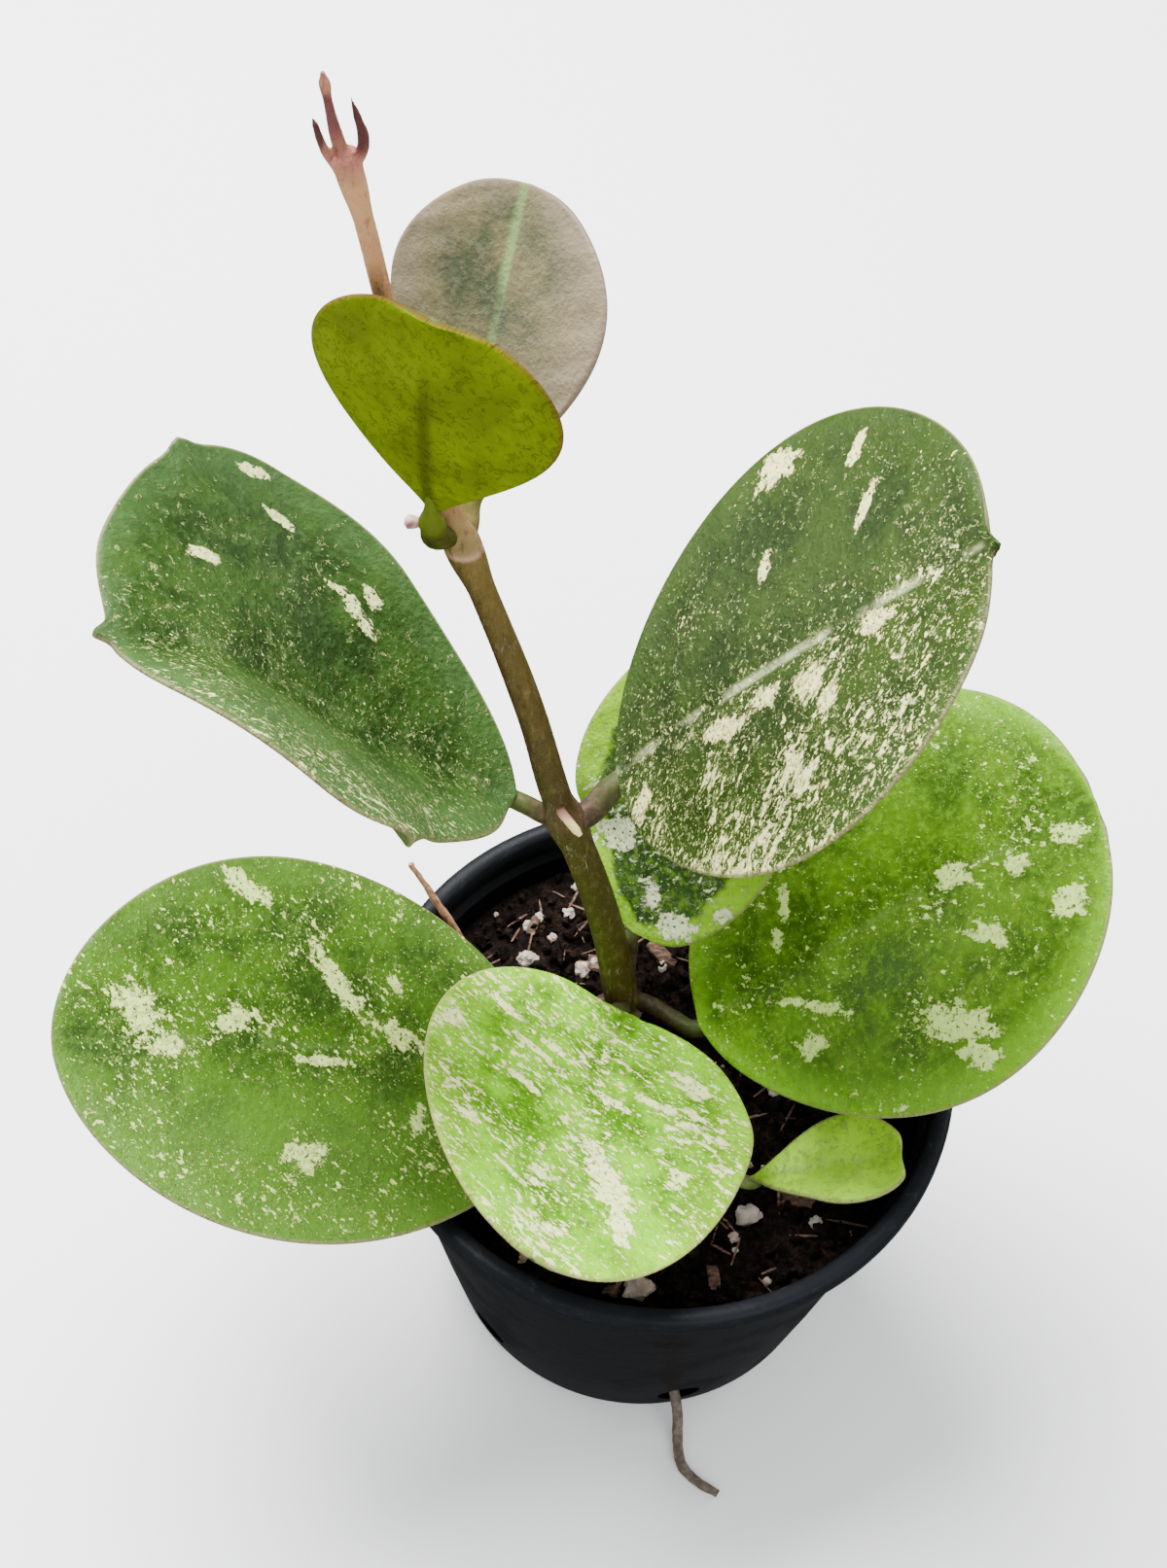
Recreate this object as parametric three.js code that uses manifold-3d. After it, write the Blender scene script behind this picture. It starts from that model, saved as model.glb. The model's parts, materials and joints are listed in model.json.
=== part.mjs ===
// Potted hoya: a round nursery pot of soil, one leaning stem, nine thick leaves.
// Millimetres, +Z up, the pot's flat base centred on the origin, front towards -Y.
import * as THREE from 'three';
import { mergeVertices } from 'three/examples/jsm/utils/BufferGeometryUtils.js';
import Module from 'manifold-3d';

const wasm = await Module();
wasm.setup();

// ---- pot ----
const POT_HEIGHT = 74;
const LIP_RADIUS = 51;
const LIP_DEPTH = 4;
const BASE_RADIUS = 36.5;
const WALL_TOP_RADIUS = 47.8;
const WALL = 1.3;
const FLOOR = 1.8;
const DRAIN_HOLES = 6;
const DRAIN_RADIUS = 4;
const DRAIN_HEIGHT = 8.5;
const DRAIN_TURN = -76;

// ---- soil ----
const SOIL_TOP = 64.2;
const SOIL_GAP = 0.35;
const SOIL_RINGS = 9;
const SOIL_SIDES = 36;
const PERLITE_GRAINS = 40;
const BARK_CHIPS = 26;

// ---- gaps and leaf thickness ----
const JOINT_GAP = 0.25;
const BLADE_HALF = 0.7;
const EDGE_HALF = 0.42;
const CREASE_WIDTH = 5;
const ARCH_PEAK = 9.48;
const BLADE_ROWS = 18;
const BLADE_COLUMNS = 4;

// ---------- helpers for solids ----------

function vec(p) {
  return new THREE.Vector3(p[0], p[1], p[2]);
}

function toManifold(geometry) {
  const bare = geometry.clone();
  bare.deleteAttribute('normal');
  bare.deleteAttribute('uv');
  const merged = mergeVertices(bare, 1e-4);
  const index = Array.from(merged.index.array);
  const kept = [];
  for (let i = 0; i < index.length; i += 3) {
    const [a, b, c] = [index[i], index[i + 1], index[i + 2]];
    if (a !== b && b !== c && c !== a) {
      kept.push(a, b, c);
    }
  }
  return new wasm.Manifold(new wasm.Mesh({
    numProp: 3,
    vertProperties: new Float32Array(merged.attributes.position.array),
    triVerts: new Uint32Array(kept),
  }));
}

function toGeometry(solid) {
  const mesh = solid.getMesh();
  const geometry = new THREE.BufferGeometry();
  const points = new THREE.BufferAttribute(new Float32Array(mesh.vertProperties), 3);
  geometry.setAttribute('position', points);
  geometry.setIndex(new THREE.BufferAttribute(new Uint32Array(mesh.triVerts), 1));
  const flat = geometry.toNonIndexed();
  flat.computeVertexNormals();
  return flat;
}

// A closed body from rings of points, each ring with the same count.
function skin(rings) {
  const n = rings[0].length;
  const points = [];
  for (const ring of rings) {
    for (const p of ring) {
      points.push(p.x, p.y, p.z);
    }
  }
  const index = [];
  for (let i = 0; i + 1 < rings.length; i += 1) {
    for (let j = 0; j < n; j += 1) {
      const a = i * n + j;
      const b = i * n + (j + 1) % n;
      index.push(a, b, b + n, a, b + n, a + n);
    }
  }
  for (const [row, flip] of [[0, true], [rings.length - 1, false]]) {
    const centre = new THREE.Vector3();
    for (const p of rings[row]) {
      centre.addScaledVector(p, 1 / n);
    }
    const c = points.length / 3;
    points.push(centre.x, centre.y, centre.z);
    for (let j = 0; j < n; j += 1) {
      const a = row * n + j;
      const b = row * n + (j + 1) % n;
      index.push(...(flip ? [c, b, a] : [c, a, b]));
    }
  }
  const geometry = new THREE.BufferGeometry();
  geometry.setAttribute('position', new THREE.Float32BufferAttribute(points, 3));
  geometry.setIndex(index);
  return geometry;
}

// A round limb through the given stations, each [x, y, z, radius]; grow widens it.
function limb(stations, sides, steps, grow = 0) {
  const curve = new THREE.CatmullRomCurve3(stations.map(vec), false, 'centripetal');
  const last = stations.length - 1;
  const count = last * steps;
  const rings = [];
  let across = new THREE.Vector3(1, 0, 0);
  for (let i = 0; i <= count; i += 1) {
    const t = i / count;
    const along = curve.getTangent(t);
    across.addScaledVector(along, -across.dot(along));
    if (across.length() < 0.05) {
      across = new THREE.Vector3(0, 1, 0).addScaledVector(along, -along.y);
    }
    across.normalize();
    const up = new THREE.Vector3().crossVectors(along, across);
    const k = Math.min(last - 1, Math.floor(t * last));
    const f = t * last - k;
    const ease = f * f * (3 - 2 * f);
    const radius = stations[k][3] + (stations[k + 1][3] - stations[k][3]) * ease + grow;
    const centre = curve.getPoint(t);
    if (i === 0) {
      centre.addScaledVector(along, -grow);
    }
    if (i === count) {
      centre.addScaledVector(along, grow);
    }
    const ring = [];
    for (let j = 0; j < sides; j += 1) {
      const a = 2 * Math.PI * j / sides;
      ring.push(centre.clone()
        .addScaledVector(across, radius * Math.cos(a))
        .addScaledVector(up, radius * Math.sin(a)));
    }
    rings.push(ring);
  }
  return toManifold(skin(rings));
}

// ---------- pot ----------

function wallRadius(z) {
  return BASE_RADIUS + (WALL_TOP_RADIUS - BASE_RADIUS) * z / (POT_HEIGHT - LIP_DEPTH - 3);
}

function potSolid() {
  const lip = POT_HEIGHT - LIP_DEPTH;
  const profile = [
    [0, 0],
    [BASE_RADIUS - 1.5, 0],
    [BASE_RADIUS, 1.5],
    [wallRadius(lip - 3), lip - 3],
    [WALL_TOP_RADIUS + 1, lip - 2.4],
    [WALL_TOP_RADIUS + 1, lip],
    [LIP_RADIUS - 0.8, lip],
    [LIP_RADIUS, lip + 0.9],
    [LIP_RADIUS, POT_HEIGHT - 1.1],
    [LIP_RADIUS - 0.9, POT_HEIGHT],
    [LIP_RADIUS - 2.6, POT_HEIGHT],
    [LIP_RADIUS - 3.4, POT_HEIGHT - 1],
    [LIP_RADIUS - 3.5, lip - 1.4],
    [wallRadius(lip - 4) - WALL, lip - 3],
    [wallRadius(FLOOR) - WALL, FLOOR + 1],
    [wallRadius(FLOOR) - WALL - 1, FLOOR],
    [0, FLOOR],
  ];
  const points = profile.map(([r, z]) => new THREE.Vector2(r, z));
  const turned = new THREE.LatheGeometry(points, 48);
  turned.rotateX(Math.PI / 2);
  let body = toManifold(turned);
  for (let i = 0; i < DRAIN_HOLES; i += 1) {
    const hole = new THREE.CylinderGeometry(DRAIN_RADIUS, DRAIN_RADIUS, 10, 16);
    hole.rotateZ(Math.PI / 2);
    hole.translate(wallRadius(DRAIN_HEIGHT) - 1, 0, DRAIN_HEIGHT);
    hole.rotateZ((DRAIN_TURN + i * 360 / DRAIN_HOLES) * Math.PI / 180);
    body = body.subtract(toManifold(hole));
  }
  return body;
}

// ---------- main stem, with the young shoot at its top ----------

const STEM = [
  [-5.5, 12.8, 24, 1.6],
  [-6.2, 12.8, 44, 2.6],
  [-6.8, 12.7, 60, 2.9],
  [-6.8, 12.6, 65.5, 3.5],
  [-7.4, 12.6, 70, 3.2],
  [-11, 12.6, 92, 2.85],
  [-16.6, 12.5, 115, 2.75],
  [-18.9, 12.5, 122.5, 3.4],
  [-20.6, 12.4, 129, 2.45],
  [-25.2, 12.2, 151, 2.25],
  [-32.3, 11.7, 178, 1.95],
  [-35.2, 11.5, 188, 2.8],
  [-36.8, 11.4, 194, 1.75],
  [-40.6, 11.2, 211, 1.4],
  [-44.6, 11, 232.5, 1.25],
  [-46.5, 10.4, 245, 1.25],
  [-47.8, 10.1, 252, 1.7],
  [-48.3, 10, 254.4, 2],
  [-48.8, 10, 256, 1],
  [-49.9, 10, 262.5, 0.7],
  [-50.1, 10, 264.4, 0.85],
  [-50.3, 10, 266.2, 0.35],
];
const SHOOT_LEAVES = [
  [[-49.5, 10, 253.6, 0.9], [-50.9, 10, 256, 1.0], [-51, 10, 258.4, 0.75], [-50.8, 10, 260, 0.3]],
  [[-47.2, 10, 254.2, 0.9], [-45.7, 10, 257, 1.0], [-45.8, 10, 260, 0.85], [-47, 10, 263, 0.3]],
];

function stemSolid() {
  let body = limb(STEM, 12, 2);
  for (const leaf of SHOOT_LEAVES) {
    body = body.add(limb(leaf, 7, 2));
  }
  return body;
}

const stem = stemSolid();
const stemRoom = limb(STEM, 12, 2, JOINT_GAP);

// ---------- leaves ----------
// base and tip are the ends of the midrib, face is where the upper side looks.
// width holds the left and right half widths, seen from base to tip.
// fold lifts each half about the midrib, foldTip is the same towards the tip.
// lobe sets the base corners back, tipLobe sets the tip corners forward.
// bow lifts the middle of the midrib, arch its last quarter, sway moves it sideways.
// twist turns the blade about the midrib, curl bends each half towards its edge.
// ripple lifts or sinks one half's rim (0 left, 1 right) at one place along the midrib.
// stalk is the leaf stalk, from inside the stem or the soil to the blade.

const LEAVES = {
  leaf_upper_left: {
    base: [-27, 14, 126], tip: [-83, 0, 178], face: [0.6, -0.1, 0.8],
    width: [35, 36], widest: 0.65, round: [0.45, 0.75],
    fold: [45, 10], foldTip: [40, 0], lobe: [10, 2], tipLobe: 5,
    bow: -8, arch: 7, sway: 5, twist: 30, curl: [-25, 5],
    ripple: { half: 0, rise: 6, at: 0.6, reach: 0.1 },
    stalk: [[-19, 12.5, 122, 1.9], [-22, 12.8, 123, 1.6], [-25.4, 13.6, 124.4, 1.6]],
  },
  leaf_upper_right: {
    base: [-11, 19, 127], tip: [37, 18, 188], face: [-0.75, -0.1, 0.65],
    width: [39, 37], widest: 0.6, round: [0.4, 0.4],
    fold: [5, 5], foldTip: [5, 5], lobe: [0, 0], tipLobe: 1,
    bow: 2, arch: 0, sway: 0, twist: -10, curl: [-5, 0],
    stalk: [[-18.5, 12.5, 121.5, 2.5], [-15.2, 14.2, 122.8, 2.2], [-12.4, 17, 125, 2.1]],
  },
  leaf_top_front: {
    base: [-38, 6, 200], tip: [-38, 3, 237], face: [0.4, 0.9, 0],
    width: [18, 17], widest: 0.7, round: [0.65, 0.4],
    fold: [5, 5], foldTip: [5, 5], lobe: [0, 2], tipLobe: 1,
    bow: -2, arch: 0, sway: 0, twist: 0, curl: [0, 0],
    stalk: [[-35.2, 11.5, 188, 2.1], [-37.4, 7.6, 190.6, 1.9], [-38.4, 6, 195, 1.7]],
  },
  leaf_top_back: {
    base: [-34, 17, 194], tip: [-29, 39, 228], face: [-0.7, -0.5, 0.6],
    width: [19, 20], widest: 0.6, round: [0.6, 0.6],
    fold: [10, 5], foldTip: [10, 5], lobe: [0, 0], tipLobe: 1,
    bow: 1, arch: 0, sway: 0, twist: 15, curl: [0, 0],
    stalk: [[-35.2, 11.5, 188.6, 1.8], [-34.7, 14.2, 190.6, 1.6], [-34.3, 16.2, 192.6, 1.5]],
  },
  leaf_lower_left: {
    base: [-22, -2, 68], tip: [-99, -18, 96], face: [0.1, 0, 1],
    width: [37, 36], widest: 0.5, round: [0.45, 0.5],
    fold: [5, 5], foldTip: [5, 5], lobe: [3, 2], tipLobe: 0,
    bow: 1, arch: 0, sway: 0, twist: -10, curl: [0, 0],
    stalk: [[-8, 12.8, 67.4, 1.8], [-12, 10.4, 67.1, 1.6], [-16, 4.8, 67, 1.5], [-20.6, -0.4, 67, 1.5]],
  },
  leaf_front: {
    base: [-7, 7, 72], tip: [-19, -52, 99], face: [0.3, 0, 1],
    width: [28, 30], widest: 0.4, round: [0.4, 0.4],
    fold: [5, 5], foldTip: [5, 5], lobe: [0, 2], tipLobe: 0,
    bow: -1, arch: 0, sway: 0, twist: -10, curl: [0, 0],
    ripple: { half: 0, rise: 3, at: 0.35, reach: 0.15 },
    stalk: [[-7.2, 12.4, 69, 1.9], [-7.2, 9.8, 70, 1.7], [-7.2, 8, 70.9, 1.7]],
  },
  leaf_lower_right: {
    base: [7, 7, 70], tip: [66, 22, 124], face: [-0.5, -0.2, 0.8],
    width: [37, 38], widest: 0.6, round: [0.45, 0.4],
    fold: [5, 5], foldTip: [5, 5], lobe: [4, 0], tipLobe: 0,
    bow: 2, arch: 0, sway: 0, twist: -10, curl: [0, 0],
    stalk: [[-6, 13, 67.2, 1.8], [-2.2, 12, 67.3, 1.7], [2.4, 9.2, 67.6, 1.6], [6, 7.1, 68.4, 1.6]],
  },
  leaf_back: {
    base: [-6, 18, 82], tip: [2, 52, 126], face: [-0.4, -0.8, 0.4],
    width: [19, 21], widest: 0.5, round: [0.55, 0.6],
    fold: [5, 5], foldTip: [5, 5], lobe: [0, 2], tipLobe: 0,
    bow: 2, arch: 0, sway: 3, twist: 5, curl: [0, 0],
    ripple: { half: 0, rise: -4, at: 0.25, reach: 0.1 },
    stalk: [[-6.9, 12.8, 67.4, 1.9], [-6.6, 16.4, 71.5, 1.6], [-6.4, 17.8, 76.5, 1.5], [-6.4, 18, 80, 1.5]],
  },
  leaf_young: {
    base: [16, -21, 68], tip: [41, -19, 76], face: [-0.3, 0.1, 0.9],
    width: [9, 10], widest: 0.65, round: [0.65, 0.4],
    fold: [10, 25], foldTip: [10, 20], lobe: [0, 0], tipLobe: 1,
    bow: 0, arch: 0, sway: 0, twist: 15, curl: [15, 10],
    stalk: [[7.2, -18.6, 48, 1.1], [7.8, -19, 60, 1.3], [10.2, -20, 65.2, 1.3], [14.2, -21, 67.2, 1.25]],
  },
};

function smooth(x) {
  const t = Math.min(1, Math.max(0, x));
  return t * t * (3 - 2 * t);
}

function radians(degrees) {
  return degrees * Math.PI / 180;
}

// How far a leaf's ripple lifts the rim of a half at the place u along the midrib.
function rimSwell(ripple, half, u) {
  if (!ripple || ripple.half !== half) {
    return 0;
  }
  return ripple.rise * Math.exp(-(((u - ripple.at) / ripple.reach) ** 2));
}

// The blade's middle surface: rows from base to tip, columns from left to right edge.
function bladeSurface(leaf, rows, columns) {
  const base = vec(leaf.base);
  const along = vec(leaf.tip).sub(base);
  const length = along.length();
  along.normalize();
  const face = vec(leaf.face);
  face.addScaledVector(along, -face.dot(along)).normalize();
  const side = new THREE.Vector3().crossVectors(along, face);
  const power = Math.log(0.5) / Math.log(leaf.widest);
  const steps = 24;
  const grid = [];
  for (let i = 0; i <= rows; i += 1) {
    const u = 0.5 - 0.5 * Math.cos(Math.PI * i / rows);
    const lift = leaf.bow * 4 * u * (1 - u) + leaf.arch * ARCH_PEAK * u ** 3 * (1 - u);
    const climb = leaf.bow * 4 * (1 - 2 * u) + leaf.arch * ARCH_PEAK * (3 * u ** 2 - 4 * u ** 3);
    const middle = base.clone().addScaledVector(along, length * u)
      .addScaledVector(face, lift)
      .addScaledVector(side, leaf.sway * 4 * u * (1 - u));
    const ahead = along.clone().multiplyScalar(length)
      .addScaledVector(face, climb)
      .addScaledVector(side, leaf.sway * 4 * (1 - 2 * u)).normalize();
    const level = face.clone().addScaledVector(ahead, -face.dot(ahead)).normalize();
    const level2 = new THREE.Vector3().crossVectors(ahead, level);
    const turn = radians(leaf.twist) * (u - 0.5);
    const up = level.clone().multiplyScalar(Math.cos(turn)).addScaledVector(level2, Math.sin(turn));
    const out = new THREE.Vector3().crossVectors(ahead, up);
    const blunt = leaf.round[0] + (leaf.round[1] - leaf.round[0]) * u;
    const inside = i > 0 && i < rows;
    const share = inside ? Math.sin(Math.PI * Math.pow(u, power)) ** blunt : 0;
    const change = smooth((u - 0.36) / 0.24);
    const row = new Array(2 * columns + 1);
    row[columns] = middle;
    for (const [half, sign] of [[0, -1], [1, 1]]) {
      const width = leaf.width[half] * share;
      const fold = leaf.fold[half] + (leaf.foldTip[half] - leaf.fold[half]) * change;
      const swell = rimSwell(leaf.ripple, half, u);
      let x = 0;
      let z = 0;
      for (let s = 1; s <= steps; s += 1) {
        const q = (s - 0.5) / steps * width;
        const tilt = radians(fold) * smooth(q / CREASE_WIDTH) + radians(leaf.curl[half]) * q / leaf.width[half];
        x += Math.cos(tilt) * width / steps;
        z += Math.sin(tilt) * width / steps;
        if (s % (steps / columns) === 0) {
          const v = s / steps;
          const corner = v ** 1.6 * smooth(share * 2);
          const shift = corner * (leaf.tipLobe * u ** 4 - leaf.lobe[half] * (1 - u) ** 2);
          row[columns + sign * s * columns / steps] = middle.clone()
            .addScaledVector(out, sign * x)
            .addScaledVector(up, z + swell * v ** 2 * smooth(share * 2))
            .addScaledVector(ahead, shift);
        }
      }
    }
    grid.push(row);
  }
  return grid;
}

// Gives the middle surface its thickness, thinner towards the edge.
function bladeSolid(leaf) {
  const grid = bladeSurface(leaf, BLADE_ROWS, BLADE_COLUMNS);
  const rows = grid.length;
  const columns = grid[0].length;
  const points = [];
  for (const sign of [1, -1]) {
    for (let i = 0; i < rows; i += 1) {
      for (let j = 0; j < columns; j += 1) {
        const r = Math.min(rows - 2, Math.max(1, i));
        const end = i === 0 || i === rows - 1;
        const c = end ? (columns - 1) / 2 : Math.min(columns - 2, Math.max(1, j));
        const down = grid[r + 1][c].clone().sub(grid[r - 1][c]);
        const over = grid[r][c + 1].clone().sub(grid[r][c - 1]);
        const normal = new THREE.Vector3().crossVectors(over, down).normalize();
        const v = end ? 1 : Math.abs(j / (columns - 1) * 2 - 1);
        const half = BLADE_HALF + (EDGE_HALF - BLADE_HALF) * v ** 4;
        const p = grid[i][j].clone().addScaledVector(normal, sign * half);
        points.push(p.x, p.y, p.z);
      }
    }
  }
  const lower = rows * columns;
  const index = [];
  for (let i = 0; i + 1 < rows; i += 1) {
    for (let j = 0; j + 1 < columns; j += 1) {
      const a = i * columns + j;
      const [b, c, d] = [a + 1, a + columns, a + columns + 1];
      index.push(a, b, d, a, d, c);
      index.push(lower + a, lower + d, lower + b, lower + a, lower + c, lower + d);
    }
    const left = i * columns;
    const right = left + columns - 1;
    index.push(left, left + columns, lower + left + columns, left, lower + left + columns, lower + left);
    index.push(right, lower + right + columns, right + columns, right, lower + right, lower + right + columns);
  }
  const geometry = new THREE.BufferGeometry();
  geometry.setAttribute('position', new THREE.Float32BufferAttribute(points, 3));
  geometry.setIndex(index);
  return toManifold(geometry);
}

// The stalk runs on under the blade and thins out along the midrib.
function stalkSolid(leaf, grow) {
  const grid = bladeSurface(leaf, 12, 2);
  const stations = leaf.stalk.map((s) => [...s]);
  const thick = stations[stations.length - 1][3];
  for (const [row, radius] of [[1, 0.95], [3, 0.75], [5, 0.4]]) {
    const middle = grid[row][2];
    const over = grid[row][3].clone().sub(grid[row][1]);
    const down = grid[row + 1][2].clone().sub(grid[row - 1][2]);
    const normal = new THREE.Vector3().crossVectors(over, down).normalize();
    const p = middle.clone().addScaledVector(normal, -thick * radius * 0.7);
    stations.push([p.x, p.y, p.z, thick * radius]);
  }
  return limb(stations, 8, 2, grow);
}

function leafSolid(leaf) {
  return bladeSolid(leaf).add(stalkSolid(leaf, 0)).subtract(stemRoom);
}

// ---------- small parts of the plant ----------

const NUB = [[-20, 11.6, 127.4, 1.2], [-19.2, 9.4, 127.6, 1.2], [-18.5, 8.3, 127.8, 1.05], [-17.9, 7.4, 127.9, 0.7]];
const STUB = [[-36.4, 11.2, 190, 0.8], [-38.6, 10.7, 192.2, 0.6], [-40.6, 10.3, 193.2, 0.6],
  [-41.7, 10.2, 193.5, 1], [-42.7, 10.1, 193.6, 0.6]];
const ROOT = [[5, -27, 12, 0.7], [7, -33, 11, 0.9], [8.2, -37, 9.8, 1], [9.1, -39.4, 6.4, 1], [9.5, -41.6, 2.6, 1],
  [9.8, -44.4, 1.15, 1], [10.6, -47.4, 1.05, 1], [13, -50, 1.02, 0.95], [17.4, -52.4, 0.98, 0.8]];

// ---------- soil ----------

let seed = 20;
function draw() {
  seed = (seed * 16807) % 2147483647;
  return seed / 2147483647;
}

function soilHeight(x, y) {
  const r = Math.hypot(x, y);
  const bumps = 0.45 * Math.sin(x * 0.31 + 1.3) * Math.cos(y * 0.27 - 0.4)
    + 0.35 * Math.sin(x * 0.63 - y * 0.52) + 0.25 * Math.cos(x * 1.1 + y * 0.9);
  return SOIL_TOP + bumps * (1 - smooth((r - 40) / 6)) - 0.6 * smooth((r - 38) / 8);
}

function soilBed() {
  const top = SOIL_TOP - 0.6;
  const floor = FLOOR + SOIL_GAP;
  const rings = [];
  for (let i = 1; i <= SOIL_RINGS; i += 1) {
    const r = (wallRadius(top) - WALL - SOIL_GAP) * i / SOIL_RINGS;
    const ring = [];
    for (let j = 0; j < SOIL_SIDES; j += 1) {
      const a = -2 * Math.PI * (j + 0.5 * (i % 2)) / SOIL_SIDES;
      const [x, y] = [r * Math.cos(a), r * Math.sin(a)];
      ring.push(new THREE.Vector3(x, y, soilHeight(x, y)));
    }
    rings.push(ring);
  }
  const bottom = [];
  for (let j = 0; j < SOIL_SIDES; j += 1) {
    const a = -2 * Math.PI * (j + 0.5 * (SOIL_RINGS % 2)) / SOIL_SIDES;
    const r = wallRadius(floor) - WALL - SOIL_GAP - 1.2;
    bottom.push(new THREE.Vector3(r * Math.cos(a), r * Math.sin(a), floor));
  }
  rings.push(bottom);
  return toManifold(skin(rings));
}

// Places of the loose grains: round the bed, clear of every stem and stalk.
function grainSpot(size, keepOff) {
  for (;;) {
    const r = Math.sqrt(draw()) * (44 - size);
    const a = draw() * 2 * Math.PI;
    const [x, y] = [r * Math.cos(a), r * Math.sin(a)];
    if (keepOff.every(([kx, ky, kr]) => Math.hypot(x - kx, y - ky) > kr + size)) {
      return [x, y];
    }
  }
}

function soilSolid() {
  const keepOff = [[-7, 12.7, 5], [-13, 9, 4], [-17.5, 2.8, 4], [-1.5, 11.4, 4], [4, 8.2, 4], [-6.6, 16.5, 4],
    [-7.2, 9, 4], [8.2, -19.3, 3], [12.5, -20.6, 4]];
  const pieces = [soilBed()];
  for (let i = 0; i < PERLITE_GRAINS; i += 1) {
    const size = 0.9 + 1.5 * draw() ** 2;
    const [x, y] = grainSpot(size, keepOff);
    const grain = new THREE.IcosahedronGeometry(size, 0);
    grain.scale(1, 0.75 + 0.3 * draw(), 0.85);
    grain.rotateX(draw() * 3);
    grain.rotateZ(draw() * 3);
    grain.translate(x, y, soilHeight(x, y) - size * 0.05);
    pieces.push(toManifold(grain));
  }
  for (let i = 0; i < BARK_CHIPS; i += 1) {
    const size = 1.4 + 1.6 * draw();
    const [x, y] = grainSpot(size, keepOff);
    const chip = new THREE.BoxGeometry(size * 2, size * 0.9, 1);
    chip.rotateX((draw() - 0.5) * 0.9);
    chip.rotateY((draw() - 0.5) * 0.7);
    chip.rotateZ(draw() * Math.PI);
    chip.translate(x, y, soilHeight(x, y) - 0.1);
    pieces.push(toManifold(chip));
  }
  // one splinter of wood stands out over the left of the rim
  pieces.push(limb([[-31.5, 19.2, 61, 0.7], [-38.5, 23.2, 72, 0.7], [-45.8, 27.3, 84, 0.45]], 6, 1));
  let body = wasm.Manifold.union(pieces);
  body = body.subtract(stemRoom);
  body = body.subtract(stalkSolid(LEAVES.leaf_young, JOINT_GAP));
  body = body.subtract(limb(ROOT, 10, 2, JOINT_GAP));
  // a grain that no longer touches the bed is left out
  return body.decompose().sort((a, b) => b.volume() - a.volume())[0];
}

// ---------- assembly ----------

const part = new THREE.Group();
part.name = 'potted_hoya_plant';

function addNode(name, solid, colour, roughness) {
  const material = new THREE.MeshStandardMaterial({ color: colour, roughness });
  material.name = name;
  const mesh = new THREE.Mesh(toGeometry(solid), material);
  mesh.name = name;
  part.add(mesh);
}

addNode('pot', potSolid(), 0x17191c, 0.45);
addNode('soil', soilSolid(), 0x2a1c14, 0.95);
addNode('main_stem', stem, 0x5d5326, 0.6);
const LEAF_COLOURS = {
  leaf_upper_left: 0x3f6b35,
  leaf_upper_right: 0x4a7a34,
  leaf_top_front: 0x7d8a1c,
  leaf_top_back: 0x8c8c78,
  leaf_lower_left: 0x5a8f35,
  leaf_front: 0x7fb03c,
  leaf_lower_right: 0x7fae2a,
  leaf_back: 0x4f8038,
  leaf_young: 0x86b04a,
};
for (const [name, leaf] of Object.entries(LEAVES)) {
  addNode(name, leafSolid(leaf), LEAF_COLOURS[name], 0.35);
}
addNode('aerial_root_nub', limb(NUB, 8, 2).subtract(stemRoom), 0xd9b98a, 0.6);
addNode('flower_stalk_stub', limb(STUB, 8, 2).subtract(stemRoom), 0xcfa9a0, 0.6);
addNode('drain_root', limb(ROOT, 10, 2), 0x6e5f50, 0.8);

export default part;
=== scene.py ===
import json
import math

import bpy
import numpy as np
from mathutils import Euler, Matrix, Vector, noise

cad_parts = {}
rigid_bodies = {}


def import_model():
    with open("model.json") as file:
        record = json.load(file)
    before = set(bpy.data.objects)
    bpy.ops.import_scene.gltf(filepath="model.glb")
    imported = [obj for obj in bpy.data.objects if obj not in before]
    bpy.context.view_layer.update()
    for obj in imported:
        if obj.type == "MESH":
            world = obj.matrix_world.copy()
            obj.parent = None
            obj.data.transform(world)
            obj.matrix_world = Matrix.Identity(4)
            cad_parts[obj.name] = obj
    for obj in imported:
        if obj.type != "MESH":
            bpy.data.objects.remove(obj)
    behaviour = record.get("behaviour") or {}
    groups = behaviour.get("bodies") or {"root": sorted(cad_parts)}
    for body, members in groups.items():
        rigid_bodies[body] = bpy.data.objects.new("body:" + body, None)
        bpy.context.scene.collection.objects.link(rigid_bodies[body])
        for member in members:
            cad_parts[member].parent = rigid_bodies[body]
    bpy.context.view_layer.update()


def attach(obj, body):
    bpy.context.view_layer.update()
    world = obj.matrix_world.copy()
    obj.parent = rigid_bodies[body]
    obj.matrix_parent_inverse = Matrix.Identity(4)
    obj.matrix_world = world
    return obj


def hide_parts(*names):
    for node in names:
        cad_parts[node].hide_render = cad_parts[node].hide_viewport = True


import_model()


# ---------- table, daylight and camera ----------
# The plant stands on a plain pale table under a wide overcast sky, seen from
# above and in front, with the camera rolled a few degrees.

CAMERA_PLACE = (-16.5, -200.5, 431.3)
CAMERA_LOOKS_DOWN = 54.5
CAMERA_ROLL = 4.0
CAMERA_LENS = 54.12
TABLE_SIDE = 6000

for thing in list(bpy.data.objects):
    if thing.type in {"CAMERA", "LIGHT"}:
        bpy.data.objects.remove(thing)

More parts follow.
